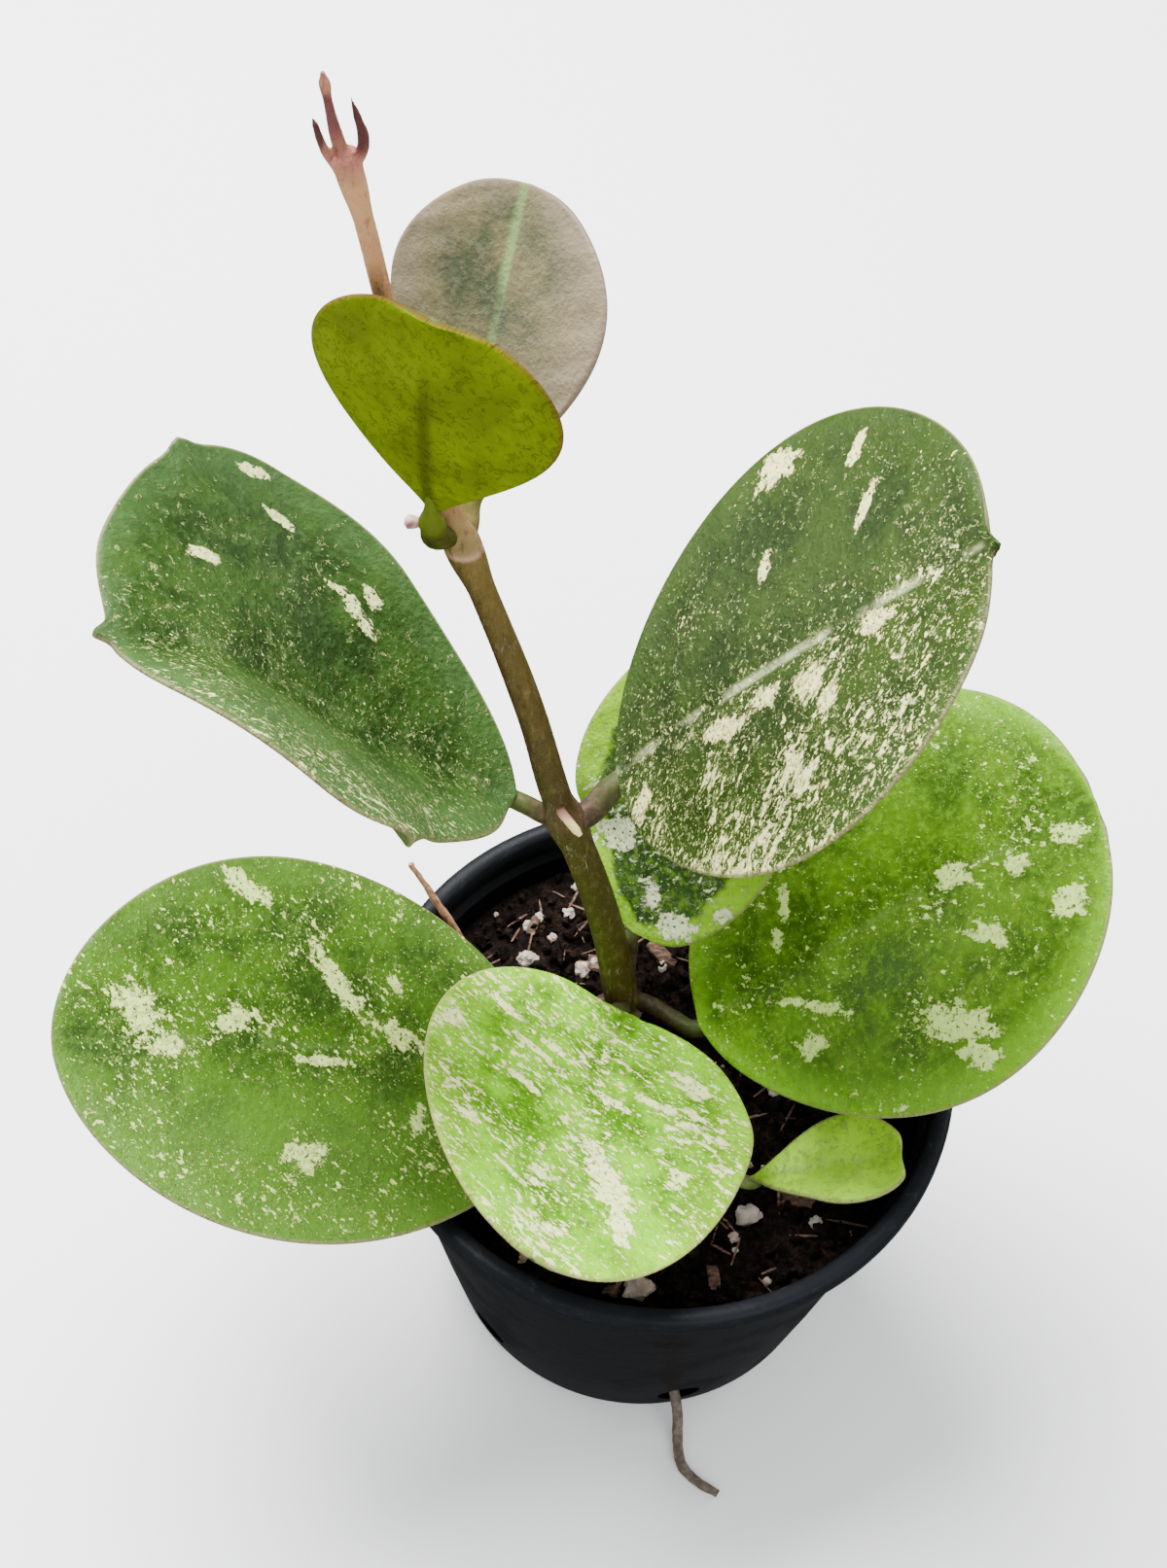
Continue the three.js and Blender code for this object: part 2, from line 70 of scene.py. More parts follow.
camera_data = bpy.data.cameras.new("camera")
camera_data.lens = CAMERA_LENS
camera_data.sensor_width = 36
camera_data.clip_end = 20
camera = bpy.data.objects.new("camera", camera_data)
camera.matrix_world = (
    Matrix.Translation(Vector(CAMERA_PLACE) / 1000)
    @ Matrix.Rotation(math.radians(90 - CAMERA_LOOKS_DOWN), 4, "X")
    @ Matrix.Rotation(math.radians(CAMERA_ROLL), 4, "Z")
)
bpy.context.scene.collection.objects.link(camera)
bpy.context.scene.camera = camera


def soft_box(name, place, aim, size, watts):
    """A square studio light that faces its aim; places in millimetres."""
    data = bpy.data.lights.new(name, "AREA")
    data.shape = "SQUARE"
    data.size = size / 1000
    data.energy = watts
    box = bpy.data.objects.new(name, data)
    box.location = Vector(place) / 1000
    facing = Vector(aim) / 1000 - box.location
    box.rotation_euler = facing.to_track_quat("-Z", "Y").to_euler()
    bpy.context.scene.collection.objects.link(box)


soft_box("sky_light", (-250, 350, 900), (0, 0, 100), 600, 38)
soft_box("front_fill", (500, -900, 700), (0, 0, 100), 900, 8)
soft_box("right_window", (850, 560, 330), (0, 0, 120), 420, 5)
soft_box("left_window", (-850, 420, 260), (0, 0, 120), 420, 5)


class Wire:
    """A socket of a finish; + - * / on it add the matching Math nodes."""

    def __init__(self, paint, socket):
        self.paint = paint
        self.socket = socket

    def math(self, operation, *values):
        return self.paint.node("ShaderNodeMath", {"operation": operation}, dict(enumerate(values)))

    def __add__(self, other):
        return self.math("ADD", self, other)

    def __radd__(self, other):
        return self.math("ADD", other, self)

    def __sub__(self, other):
        return self.math("SUBTRACT", self, other)

    def __rsub__(self, other):
        return self.math("SUBTRACT", other, self)

    def __mul__(self, other):
        return self.math("MULTIPLY", self, other)

    def __rmul__(self, other):
        return self.math("MULTIPLY", other, self)

    def __truediv__(self, other):
        return self.math("DIVIDE", self, other)

    def __abs__(self):
        return self.math("ABSOLUTE", self)

    def most(self, other):
        return self.math("MAXIMUM", self, other)

    def step(self, low, high):
        """0 below low, 1 above high, smooth between; high may be the smaller one."""
        settings = {"interpolation_type": "SMOOTHSTEP"}
        return self.paint.node("ShaderNodeMapRange", settings, {0: self, 1: low, 2: high})


class Paint:
    """One material, or the sky, with its shader and the nodes that feed it."""

    def __init__(self, name, kind="materials", shader="Principled BSDF"):
        self.material = getattr(bpy.data, kind).new(name)
        self.material.use_nodes = True
        self.tree = self.material.node_tree
        self.shader = self.tree.nodes[shader]

    def node(self, kind, settings=None, sockets=None, out=0):
        made = self.tree.nodes.new(kind)
        for key, value in (settings or {}).items():
            if key == "stops":
                ramp = made.color_ramp
                while len(ramp.elements) < len(value):
                    ramp.elements.new(0.5)
                for element, (place, colour) in zip(ramp.elements, value):
                    element.position = place
                    element.color = (*colour, 1)
            else:
                setattr(made, key, value)
        for key, value in (sockets or {}).items():
            self.feed(made.inputs[key], value)
        return Wire(self, made.outputs[out])

    def feed(self, socket, value):
        if isinstance(value, Wire):
            self.tree.links.new(value.socket, socket)
        elif isinstance(value, tuple) and len(value) == 3 and socket.type == "RGBA":
            socket.default_value = (*value, 1)
        else:
            socket.default_value = value

    def set(self, **values):
        for key, value in values.items():
            self.feed(self.shader.inputs[key.replace("_", " ")], value)

    def place(self):
        return self.node("ShaderNodeTexCoord", out=3)

    def noise(self, where, size, detail=2.0, rough=0.5, warp=0.0):
        """Cloudy noise round 0.5, its lumps about size metres across."""
        sockets = {"Vector": where, "Scale": 1 / size, "Detail": detail,
                   "Roughness": rough, "Distortion": warp}
        return self.node("ShaderNodeTexNoise", None, sockets)

    def stretch(self, where, scale, turn=(0, 0, 0)):
        sockets = {"Vector": where, "Rotation": turn, "Scale": scale}
        return self.node("ShaderNodeMapping", None, sockets)

    def mix(self, share, first, second):
        settings = {"data_type": "RGBA"}
        return self.node("ShaderNodeMix", settings, {0: share, 6: first, 7: second}, 2)

    def part(self, where, axis):
        return self.node("ShaderNodeSeparateXYZ", None, {0: where}, "XYZ".index(axis))

    def ramp(self, share, *stops):
        return self.node("ShaderNodeValToRGB", {"stops": stops}, {0: share})

    def bump(self, height, depth):
        sockets = {"Height": height, "Distance": depth, "Strength": 1.0}
        self.set(Normal=self.node("ShaderNodeBump", None, sockets))


def add(name, operator, **how):
    """Adds a primitive with nothing else selected, and names it."""
    bpy.ops.object.select_all(action="DESELECT")
    operator(**how)
    piece = bpy.context.object
    piece.name = name
    piece.data.name = name
    return piece


# the sky is dim at the horizon and brightest overhead
SKY_LOW = 0.15
SKY_HIGH = 1.3
sky = Paint("overcast_sky", "worlds", "Background")
upward = sky.part(sky.node("ShaderNodeTexCoord"), "Z")
climb = {0: upward, 1: -0.1, 2: 0.9, 3: SKY_LOW, 4: SKY_HIGH}
sky.set(Color=(0.95, 0.98, 1.0), Strength=sky.node("ShaderNodeMapRange", None, climb))
bpy.context.scene.world = sky.material

table = add("table", bpy.ops.mesh.primitive_plane_add, size=TABLE_SIDE / 1000)
table_paint = Paint("white_table")
table_paint.set(Base_Color=(0.93, 0.93, 0.93), Roughness=0.8)
table.data.materials.append(table_paint.material)
table.visible_glossy = False


# ---------- pot ----------
# A plain nursery pot, blow-moulded in black plastic: tapered wall, rolled lip
# over a narrow shoulder, a ledge just inside the lip, and drain holes low in
# the wall. It is satin and a little dusty; the lip band is painted a lighter
# grey all round as a painted highlight, lighter still where it is scuffed.

POT_HEIGHT = 74
LIP_RADIUS = 51
BASE_RADIUS = 36.5
WALL_TOP_RADIUS = 47.8
WALL_TOP = 67
WALL = 1.3
FLOOR = 1.8
DRAIN_HOLES = 6
DRAIN_RADIUS = 4
DRAIN_HEIGHT = 8.5
DRAIN_TURN = -76
DRILL_LENGTH = 12
POT_FACETS = 160


def wall_radius(z):
    return BASE_RADIUS + (WALL_TOP_RADIUS - BASE_RADIUS) * z / WALL_TOP


def modify(piece, kind, **settings):
    bpy.context.view_layer.objects.active = piece
    modifier = piece.modifiers.new(kind.lower(), kind)
    for key, value in settings.items():
        setattr(modifier, key, value)
    bpy.ops.object.modifier_apply(modifier=modifier.name)


def join(pieces, name):
    bpy.ops.object.select_all(action="DESELECT")
    for piece in pieces:
        piece.select_set(True)
    bpy.context.view_layer.objects.active = pieces[0]
    bpy.ops.object.join()
    pieces[0].name = name
    pieces[0].data.name = name
    return pieces[0]


def smooth_faces(piece, angle=180):
    bpy.ops.object.select_all(action="DESELECT")
    piece.select_set(True)
    bpy.context.view_layer.objects.active = piece
    bpy.ops.object.shade_smooth_by_angle(angle=math.radians(angle))


def finish(piece, slot, *nodes):
    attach(piece, "root")
    if nodes:
        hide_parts(*nodes)


# the wall is drawn up from a disc, over the lip and down inside to the floor
POT_PROFILE = [
    (BASE_RADIUS - 0.4, 0.4), (BASE_RADIUS, 1.5), (wall_radius(20), 20), (wall_radius(45), 45),
    (wall_radius(66), 66), (WALL_TOP_RADIUS + 0.6, 66.4), (WALL_TOP_RADIUS + 1.6, 67),
    (WALL_TOP_RADIUS + 1.8, 67.6), (WALL_TOP_RADIUS + 1.8, 69), (WALL_TOP_RADIUS + 1.4, 69.7),
    (LIP_RADIUS - 0.9, 70), (LIP_RADIUS - 0.2, 70.3), (LIP_RADIUS, 71), (LIP_RADIUS, 72.8),
    (LIP_RADIUS - 0.3, 73.6), (LIP_RADIUS - 0.9, 74), (LIP_RADIUS - 2.4, 74), (LIP_RADIUS - 3.1, 73.6),
    (LIP_RADIUS - 3.4, 72.8), (LIP_RADIUS - 3.5, 70), (LIP_RADIUS - 3.6, 68.7), (LIP_RADIUS - 4.4, 68.1),
    (wall_radius(66.5) - WALL - 0.3, 67.8), (wall_radius(65) - WALL, 66), (wall_radius(40) - WALL, 40),
    (wall_radius(FLOOR) - WALL, FLOOR + 1), (wall_radius(FLOOR) - WALL - 1, FLOOR),
]
pot = add("pot_shell", bpy.ops.mesh.primitive_circle_add, vertices=POT_FACETS,
          radius=(BASE_RADIUS - 1.5) / 1000, fill_type="NGON")
bpy.ops.object.mode_set(mode="EDIT")
bpy.ops.mesh.select_all(action="SELECT")
radius, height = BASE_RADIUS - 1.5, 0
for next_radius, next_height in POT_PROFILE:
    grow = next_radius / radius
    rise = (0, 0, (next_height - height) / 1000)
    bpy.ops.mesh.extrude_region_move(TRANSFORM_OT_translate={"value": rise})
    bpy.ops.transform.resize(value=(grow, grow, 1), center_override=(0, 0, next_height / 1000))
    radius, height = next_radius, next_height
bpy.ops.mesh.select_all(action="SELECT")
bpy.ops.mesh.normals_make_consistent(inside=False)
bpy.ops.object.mode_set(mode="OBJECT")

drills = []
for i in range(DRAIN_HOLES):
    turn = math.radians(DRAIN_TURN + i * 360 / DRAIN_HOLES)
    reach = (wall_radius(DRAIN_HEIGHT) - 1) / 1000
    drills.append(add(
        f"drill_{i}", bpy.ops.mesh.primitive_cylinder_add, vertices=40, radius=DRAIN_RADIUS / 1000,
        depth=DRILL_LENGTH / 1000,
        location=(reach * math.cos(turn), reach * math.sin(turn), DRAIN_HEIGHT / 1000),
        rotation=(0, math.radians(90), turn)))
drill = join(drills, "drill")
modify(pot, "BOOLEAN", operation="DIFFERENCE", object=drill, solver="EXACT")
bpy.data.objects.remove(drill)
smooth_faces(pot, 40)

plastic = Paint("satin_black_plastic")
spot = plastic.place()
dust = plastic.noise(spot, 0.018, 4, 0.6).step(0.5, 0.72)
scuff = plastic.noise(plastic.stretch(spot, (1, 1, 6)), 0.004, 3, 0.7).step(0.55, 0.75)
# the lip band is painted a lighter grey: a painted highlight all round the lip, lighter still on the scuffs
lip_highlight_and_scuff_band = plastic.part(spot, "Z").step(0.0695, 0.0735)
black = plastic.mix(dust * 0.5, (0.002, 0.0022, 0.0028), (0.006, 0.0063, 0.0075))
black = plastic.mix(lip_highlight_and_scuff_band * (0.2 + scuff * 0.4), black, (0.03, 0.034, 0.041))
plastic.set(Base_Color=black, Roughness=0.34 + dust * 0.14 + scuff * 0.08, Specular_IOR_Level=0.07)
grain = plastic.noise(spot, 0.0006, 2) * 0.5 + plastic.noise(spot, 0.006, 2)
plastic.bump(grain, 0.00012)
pot.data.materials.append(plastic.material)
finish(pot, "pot_plastic", "pot")


# ---------- soil ----------
# Dark peat in crumbs, with white perlite, brown bark chips and a few fibres
# mixed in. It fills the pot to a centimetre below the lip and is a little
# higher round the stem.

SOIL_TOP = 64.2
SOIL_GAP = 0.35
BED_TOP_SHARE = 0.75
BED_WALL_SHARE = 0.9
LARGE_PERLITE = 40
SMALL_PERLITE = 60
BARK_CHIPS = 26
CRUMBS = 1500
FIBRES = 110


def smooth(x):
    t = np.clip(x, 0, 1)
    return t * t * (3 - 2 * t)


def soil_height(x, y):
    """Height of the bed in millimetres: the same low swells as the solid's."""
    r = math.hypot(x, y)
    swells = (0.45 * math.sin(x * 0.31 + 1.3) * math.cos(y * 0.27 - 0.4)
              + 0.35 * math.sin(x * 0.63 - y * 0.52) + 0.25 * math.cos(x * 1.1 + y * 0.9))
    return SOIL_TOP + swells * (1 - smooth((r - 40) / 6)) - 0.6 * smooth((r - 38) / 8)


bed = add("peat_bed", bpy.ops.mesh.primitive_uv_sphere_add, segments=420, ring_count=160, radius=1)
SOIL_RADIUS = wall_radius(SOIL_TOP) - WALL - SOIL_GAP
for vertex in bed.data.vertices:
    ring = math.acos(max(-1, min(1, vertex.co.z))) / math.pi
    turn = math.atan2(vertex.co.y, vertex.co.x)
    if ring < BED_TOP_SHARE:
        r = SOIL_RADIUS * ring / BED_TOP_SHARE
        x, y = r * math.cos(turn), r * math.sin(turn)
        spot = Vector((x, y, 0))
        clods = 1.0 * noise.noise(spot * 0.28) + 0.9 * noise.noise(spot * 0.7)
        clods += 0.5 * noise.noise(spot * 1.7)
        z = soil_height(x, y) - 0.3 + clods * (1 - smooth((r - 44.5) / 1.4))
    elif ring < BED_WALL_SHARE:
        z = SOIL_TOP - 1 - (SOIL_TOP - 4) * (ring - BED_TOP_SHARE) / (BED_WALL_SHARE - BED_TOP_SHARE)
        r = wall_radius(z) - WALL - SOIL_GAP - 0.4
    else:
        z = FLOOR + SOIL_GAP + 0.5
        r = (wall_radius(z) - WALL - 2) * (1 - ring) / (1 - BED_WALL_SHARE)
    vertex.co = Vector((r * math.cos(turn), r * math.sin(turn), z)) / 1000
smooth_faces(bed)

peat = Paint("damp_peat")
spot = peat.place()
crumb = peat.noise(spot, 0.0016, 4, 0.7)
peat_colour = peat.ramp(crumb, (0.3, (0.0012, 0.0007, 0.0005)), (0.5, (0.005, 0.0027, 0.0018)),
                        (0.68, (0.026, 0.013, 0.008)), (0.8, (0.07, 0.036, 0.022)))
peat.set(Base_Color=peat_colour, Roughness=0.8, Specular_IOR_Level=0.08)
peat.bump(crumb + peat.noise(spot, 0.0005, 2) * 0.4, 0.0012)
bed.data.materials.append(peat.material)
finish(bed, "soil", "soil")

seed = 20
SEED_FACTOR = 16807
SEED_WRAP = 2147483647


def draw():
    """The next of a fixed run of draws between 0 and 1."""
    global seed
    seed = seed * SEED_FACTOR % SEED_WRAP
    return seed / SEED_WRAP


# places in the bed, x, y and radius, where stem, stalks and shoot come up
KEEP_OFF = [(-7, 12.7, 5), (-13, 9, 4), (-17.5, 2.8, 4), (-1.5, 11.4, 4), (4, 8.2, 4), (-6.6, 16.5, 4),
            (-7.2, 9, 4), (8.2, -19.3, 3), (12.5, -20.6, 4)]


def grain_spot(size, reach=44):
    while True:
        r = math.sqrt(draw()) * (reach - size)
        turn = draw() * 2 * math.pi
        x, y = r * math.cos(turn), r * math.sin(turn)
        if all(math.hypot(x - kx, y - ky) > kr + size for kx, ky, kr in KEEP_OFF):
            return x, y


def lump(pattern, place, scale, turn, rough):
    """A copy of the pattern's mesh, roughened, turned and set down; all in millimetres."""
    turned = Euler(turn).to_matrix()
    shift = Vector((draw(), draw(), draw())) * 50
    points = []
    for point in pattern:
        swell = noise.noise(point * 1.7 + shift) + 0.5 * noise.noise(point * 4 + shift)
        grown = point * (1 + rough * swell)
        grown = Vector((grown.x * scale[0], grown.y * scale[1], grown.z * scale[2]))
        points.append((turned @ grown + Vector(place)) / 1000)
    return points


def heap(name, pattern, lumps):
    """One mesh from many roughened copies of a primitive."""
    corners = [vertex.co.copy() for vertex in pattern.data.vertices]
    faces = [tuple(face.vertices) for face in pattern.data.polygons]
    points, polygons = [], []
    for place, scale, turn, rough in lumps:
        first = len(points)
        points += lump(corners, place, scale, turn, rough)
        polygons += [tuple(first + i for i in face) for face in faces]
    mesh = bpy.data.meshes.new(name)
    mesh.from_pydata(points, [], polygons)
    piece = bpy.data.objects.new(name, mesh)
    bpy.context.scene.collection.objects.link(piece)
    smooth_faces(piece, 50)
    return piece


grain_pattern = add("grain_pattern", bpy.ops.mesh.primitive_ico_sphere_add, subdivisions=3, radius=1)
crumb_pattern = add("crumb_pattern", bpy.ops.mesh.primitive_ico_sphere_add, subdivisions=1, radius=1)
chip_pattern = add("chip_pattern", bpy.ops.mesh.primitive_cube_add, size=2)
modify(chip_pattern, "BEVEL", width=0.25, segments=1)
modify(chip_pattern, "SUBSURF", levels=1, render_levels=1, subdivision_type="SIMPLE")

grains = []
for i in range(LARGE_PERLITE):
    size = 0.9 + 1.5 * draw() ** 2
    x, y = grain_spot(size)
    flat = 0.75 + 0.3 * draw()
    turn = (draw() * 3, 0, draw() * 3)
    grains.append(((x, y, soil_height(x, y) + size * 0.15), (size, size * flat, size * 0.85), turn, 0.5))
chips = []
for i in range(BARK_CHIPS):
    size = 1.4 + 1.6 * draw()
    x, y = grain_spot(size)
    turn = ((draw() - 0.5) * 0.9, (draw() - 0.5) * 0.7, draw() * math.pi)
    chips.append(((x, y, soil_height(x, y) + 0.3), (size, size * 0.45, 0.5), turn, 0.35))
for i in range(SMALL_PERLITE):
    size = 0.35 + 0.5 * draw()
    x, y = grain_spot(size, 45.5)
    grains.append(((x, y, soil_height(x, y) + size * 0.5), (size, size, size), (draw() * 3, 0, 0), 0.5))
crumbs = []
for i in range(CRUMBS):
    size = 0.4 + 1.1 * draw() ** 2
    r = math.sqrt(draw()) * 45
    turn = draw() * 2 * math.pi
    x, y = r * math.cos(turn), r * math.sin(turn)
    shape = (size * (1 + draw()), size * 0.8, size * 0.7)
    crumbs.append(((x, y, soil_height(x, y) + size * 0.3), shape, (draw() * 3, draw() * 3, draw() * 3), 0.6))
fibres = []
for i in range(FIBRES):
    size = 1.2 + 3.2 * draw()
    x, y = grain_spot(size * 0.6, 45)
    turn = (0, (draw() - 0.5) * 0.5, draw() * math.pi)
    fibres.append(((x, y, soil_height(x, y) + 0.9), (size, 0.13 + 0.14 * draw(), 0.12), turn, 0.4))

perlite = heap("perlite", grain_pattern, grains)
bark = heap("bark_chips", chip_pattern, chips)
loose = heap("peat_crumbs", crumb_pattern, crumbs)
threads = heap("fibres", crumb_pattern, fibres)
for pattern in (grain_pattern, crumb_pattern, chip_pattern):
    bpy.data.objects.remove(pattern)

white = Paint("perlite_white")
spot = white.place()
tint = white.noise(spot, 0.009, 1)
stain = white.noise(spot, 0.0016, 3, 0.6).step(0.5, 0.7)
body = white.ramp(tint, (0.35, (0.34, 0.26, 0.2)), (0.5, (0.5, 0.44, 0.38)), (0.62, (0.36, 0.22, 0.14)))
white.set(Base_Color=white.mix(stain * 0.45, body, (0.3, 0.2, 0.14)), Roughness=0.75)
white.bump(white.noise(spot, 0.0005, 3, 0.6), 0.0004)
perlite.data.materials.append(white.material)
finish(perlite, "soil")

rind = Paint("bark_brown")
spot = rind.place()
streak = rind.noise(rind.stretch(spot, (1, 3, 3)), 0.002, 4, 0.6)
rind.set(Base_Color=rind.ramp(streak, (0.3, (0.02, 0.009, 0.005)), (0.52, (0.09, 0.042, 0.023)),
                              (0.7, (0.26, 0.15, 0.085))), Roughness=0.7)
rind.bump(streak, 0.0006)
for piece in (bark, threads):
    piece.data.materials.append(rind.material)
    finish(piece, "soil")
loose.data.materials.append(peat.material)
finish(loose, "soil")


# ---------- main stem and young shoot ----------
# One grown stem leans out of the soil, with a pale collar at its foot and a
# swelling at each pair of leaves. Its skin is olive and corky below, tan and
# pink above, and it ends in a thin shoot with two tiny maroon leaves.

STEM = [
    (-5.5, 12.8, 24, 1.6), (-6.2, 12.8, 44, 2.6), (-6.8, 12.7, 60, 2.9), (-6.8, 12.6, 64.6, 3.7),
    (-6.8, 12.6, 66.2, 3.5), (-7, 12.6, 67.5, 3.1), (-7.4, 12.6, 70, 3.1), (-11, 12.6, 92, 2.85),
    (-16.6, 12.5, 115, 2.75), (-18.9, 12.5, 122.5, 3.3), (-20.6, 12.4, 129, 2.45),
    (-25.2, 12.2, 151, 2.25), (-32.3, 11.7, 178, 2), (-35.2, 11.5, 188, 2.7), (-36.8, 11.4, 194, 1.75),
    (-40.6, 11.2, 211, 1.4), (-44.6, 11, 232.5, 1.25),
    (-46.5, 10.4, 245, 1.25), (-47.8, 10.1, 252, 1.7), (-48.3, 10, 254.4, 1.9), (-48.8, 10, 256, 0.85),
    (-49.9, 10, 262.5, 0.55), (-50.1, 10, 264.4, 0.7), (-50.3, 10, 266.2, 0.3),
]
SHOOT_LEAVES = [
    [(-49.2, 10, 253.2, 0.7), (-50.3, 10, 254.8, 0.6), (-51, 10, 256.8, 0.5), (-51.4, 10, 258.6, 0.42),
     (-51.7, 10, 259.8, 0.12)],
    [(-47.4, 10, 253.6, 0.8), (-46.4, 10, 255.4, 0.75), (-46.1, 10, 257.6, 0.7), (-46.6, 10, 260, 0.5),
     (-47.3, 10, 263, 0.15)],
]


def limb(name, stations, around=5, along=8):
    """A round limb through its stations, each x, y, z and radius in millimetres; closed at both ends."""
    rod = add(name, bpy.ops.curve.primitive_bezier_curve_add)
    line = rod.data.splines[0]
    line.bezier_points.add(len(stations) - 2)
    line.radius_interpolation = "EASE"
    for point, (x, y, z, r) in zip(line.bezier_points, stations):
        point.co = (x / 1000, y / 1000, z / 1000)
        point.radius = r
        point.handle_left_type = "AUTO"
        point.handle_right_type = "AUTO"
    rod.data.dimensions = "3D"
    rod.data.bevel_depth = 0.001
    rod.data.bevel_resolution = around
    rod.data.resolution_u = along
    rod.data.use_fill_caps = True
    bpy.context.view_layer.update()
    bpy.ops.object.convert(target="MESH")
    return bpy.context.object


def fuse(pieces, name, grain, rounds):
    """Grows separate limbs into one skin, as tissue joins them."""
    body = join(pieces, name)
    modify(body, "REMESH", mode="VOXEL", voxel_size=grain / 1000)
    modify(body, "SMOOTH", factor=0.5, iterations=rounds)
    smooth_faces(body)
    return body


stem = fuse([limb("stem", STEM, 7)] + [limb(f"shoot_leaf_{i}", leaf) for i, leaf in enumerate(SHOOT_LEAVES)],
            "stem", 0.25, 3)

bark_skin = Paint("stem_skin")
spot = bark_skin.place()
rise = bark_skin.part(spot, "Z")
stem_base = bark_skin.ramp(
    (rise - 0.06) / 0.21,
    (0.0, (0.2, 0.15, 0.09)), (0.028, (0.26, 0.2, 0.12)), (0.036, (0.04, 0.03, 0.003)),
    (0.14, (0.04, 0.03, 0.002)), (0.29, (0.05, 0.034, 0.005)), (0.31, (0.09, 0.05, 0.024)),
    (0.33, (0.055, 0.035, 0.01)), (0.59, (0.12, 0.078, 0.016)), (0.606, (0.14, 0.09, 0.022)),
    (0.61, (0.5, 0.3, 0.19)), (0.614, (0.19, 0.135, 0.045)), (0.72, (0.42, 0.18, 0.085)),
    (0.91, (0.46, 0.23, 0.1)), (0.925, (0.36, 0.13, 0.09)), (0.95, (0.13, 0.035, 0.035)),
    (0.965, (0.13, 0.035, 0.035)), (0.975, (0.4, 0.17, 0.09)), (0.985, (0.26, 0.07, 0.08)))
mottle = bark_skin.noise(bark_skin.stretch(spot, (1, 1, 0.35)), 0.0011, 4, 0.65)
facing = bark_skin.part(bark_skin.node("ShaderNodeTexCoord", out=1), "X")
flush = facing.step(-0.2, -0.7) * rise.step(0.13, 0.15) * rise.step(0.2, 0.18)
stem_colour = bark_skin.mix(mottle.step(0.5, 0.7) * 0.4, stem_base, (0.2, 0.15, 0.05))
stem_colour = bark_skin.mix(mottle.step(0.46, 0.32) * 0.5, stem_colour, (0.03, 0.014, 0.006))
stem_colour = bark_skin.mix(flush * 0.75, stem_colour, (0.07, 0.016, 0.007))
sideways = bark_skin.part(spot, "X")
leafy = sideways.step(-0.0504, -0.0508).most(sideways.step(-0.0476, -0.0471)) * rise.step(0.2545, 0.2568)
stem_colour = bark_skin.mix(leafy * 0.85, stem_colour, (0.06, 0.014, 0.014))
crack = bark_skin.noise(bark_skin.stretch(spot, (1, 1, 0.12)), 0.0014, 3, 0.5)
crack = abs(crack - 0.5).step(0.012, 0.0) * bark_skin.noise(spot, 0.008, 1).step(0.52, 0.62)
stem_colour = bark_skin.mix(crack * 0.7, stem_colour, (0.4, 0.3, 0.2))
bark_skin.set(Base_Color=stem_colour, Roughness=0.5, Specular_IOR_Level=0.2)
bark_skin.bump(mottle + bark_skin.noise(spot, 0.0004, 2) * 0.5 - crack * 0.4, 0.0005)
stem.data.materials.append(bark_skin.material)
finish(stem, "stem", "main_stem")


# ---------- aerial root nub and flower stalk stub ----------
# Two short growths on the nodes: a blunt pink root nub with a pale yellow
# tip, and the dried pinkish stump of a flower stalk with its scar.

NUB = [(-20, 11.2, 128.4, 0.7), (-19.6, 9.6, 128.8, 0.8), (-18.6, 8.6, 128.3, 0.75), (-17.2, 7.4, 127.4, 0.7),
       (-16.4, 6.8, 126.8, 0.4)]
nub = limb("aerial_root_nub_skin", NUB)
smooth_faces(nub)
nub_skin = Paint("root_nub_skin")
reach = nub_skin.part(nub_skin.place(), "Y")
root_tint = nub_skin.ramp((reach - 0.0065) / 0.0035, (0.0, (0.85, 0.68, 0.24)), (0.4, (0.8, 0.6, 0.3)),
                          (0.6, (0.5, 0.25, 0.18)), (0.95, (0.2, 0.09, 0.06)))
nub_skin.set(Base_Color=root_tint, Roughness=0.45, Specular_IOR_Level=0.25)
nub.data.materials.append(nub_skin.material)
finish(nub, "root_nub", "aerial_root_nub")

STUB = [(-36.4, 11.2, 190, 0.8), (-38.6, 10.7, 192.2, 0.6), (-40.6, 10.3, 193.2, 0.6),
        (-41.7, 10.2, 193.5, 0.95), (-42.4, 10.1, 193.6, 1), (-42.9, 10.1, 193.6, 0.5)]
stub = limb("flower_stalk_stub_skin", STUB)
smooth_faces(stub)
stub_skin = Paint("stalk_stub_skin")
blush = stub_skin.noise(stub_skin.place(), 0.0012, 3).step(0.45, 0.65)
stub_skin.set(Base_Color=stub_skin.mix(blush, (0.5, 0.32, 0.29), (0.28, 0.1, 0.11)), Roughness=0.55)
stub.data.materials.append(stub_skin.material)
finish(stub, "stalk_stub", "flower_stalk_stub")


# ---------- root at the drain hole ----------
# A dry brown root has grown out of a drain hole, down the wall and along the
# table for a short way, and gets thinner towards its end.

ROOT = [(5, -27, 12, 0.7), (7, -33, 11, 0.9), (8.2, -37, 9.8, 1), (9.1, -39.4, 6.4, 1), (9.5, -41.6, 2.6, 1),
        (9.8, -44.4, 1.15, 0.95), (10.6, -47.4, 1.05, 1), (13, -50, 1.02, 0.9), (17.4, -52.4, 0.98, 0.75)]
root = limb("drain_root_skin", ROOT, 5, 10)
for vertex in root.data.vertices:
    vertex.co += vertex.normal * 0.00012 * noise.noise(vertex.co * 900)
smooth_faces(root)
root_skin = Paint("root_skin")
spot = root_skin.place()
fleck = root_skin.noise(spot, 0.0018, 4, 0.7)
root_skin.set(Base_Color=root_skin.ramp(fleck, (0.3, (0.04, 0.03, 0.022)), (0.5, (0.1, 0.076, 0.055)),
                                        (0.7, (0.18, 0.145, 0.105))), Roughness=0.8)
root_skin.bump(fleck, 0.0005)
root.data.materials.append(root_skin.material)
finish(root, "root", "drain_root")


# ---------- wood splinter ----------
# A thin splinter of bark mulch stands in the mix and leans over the lip.

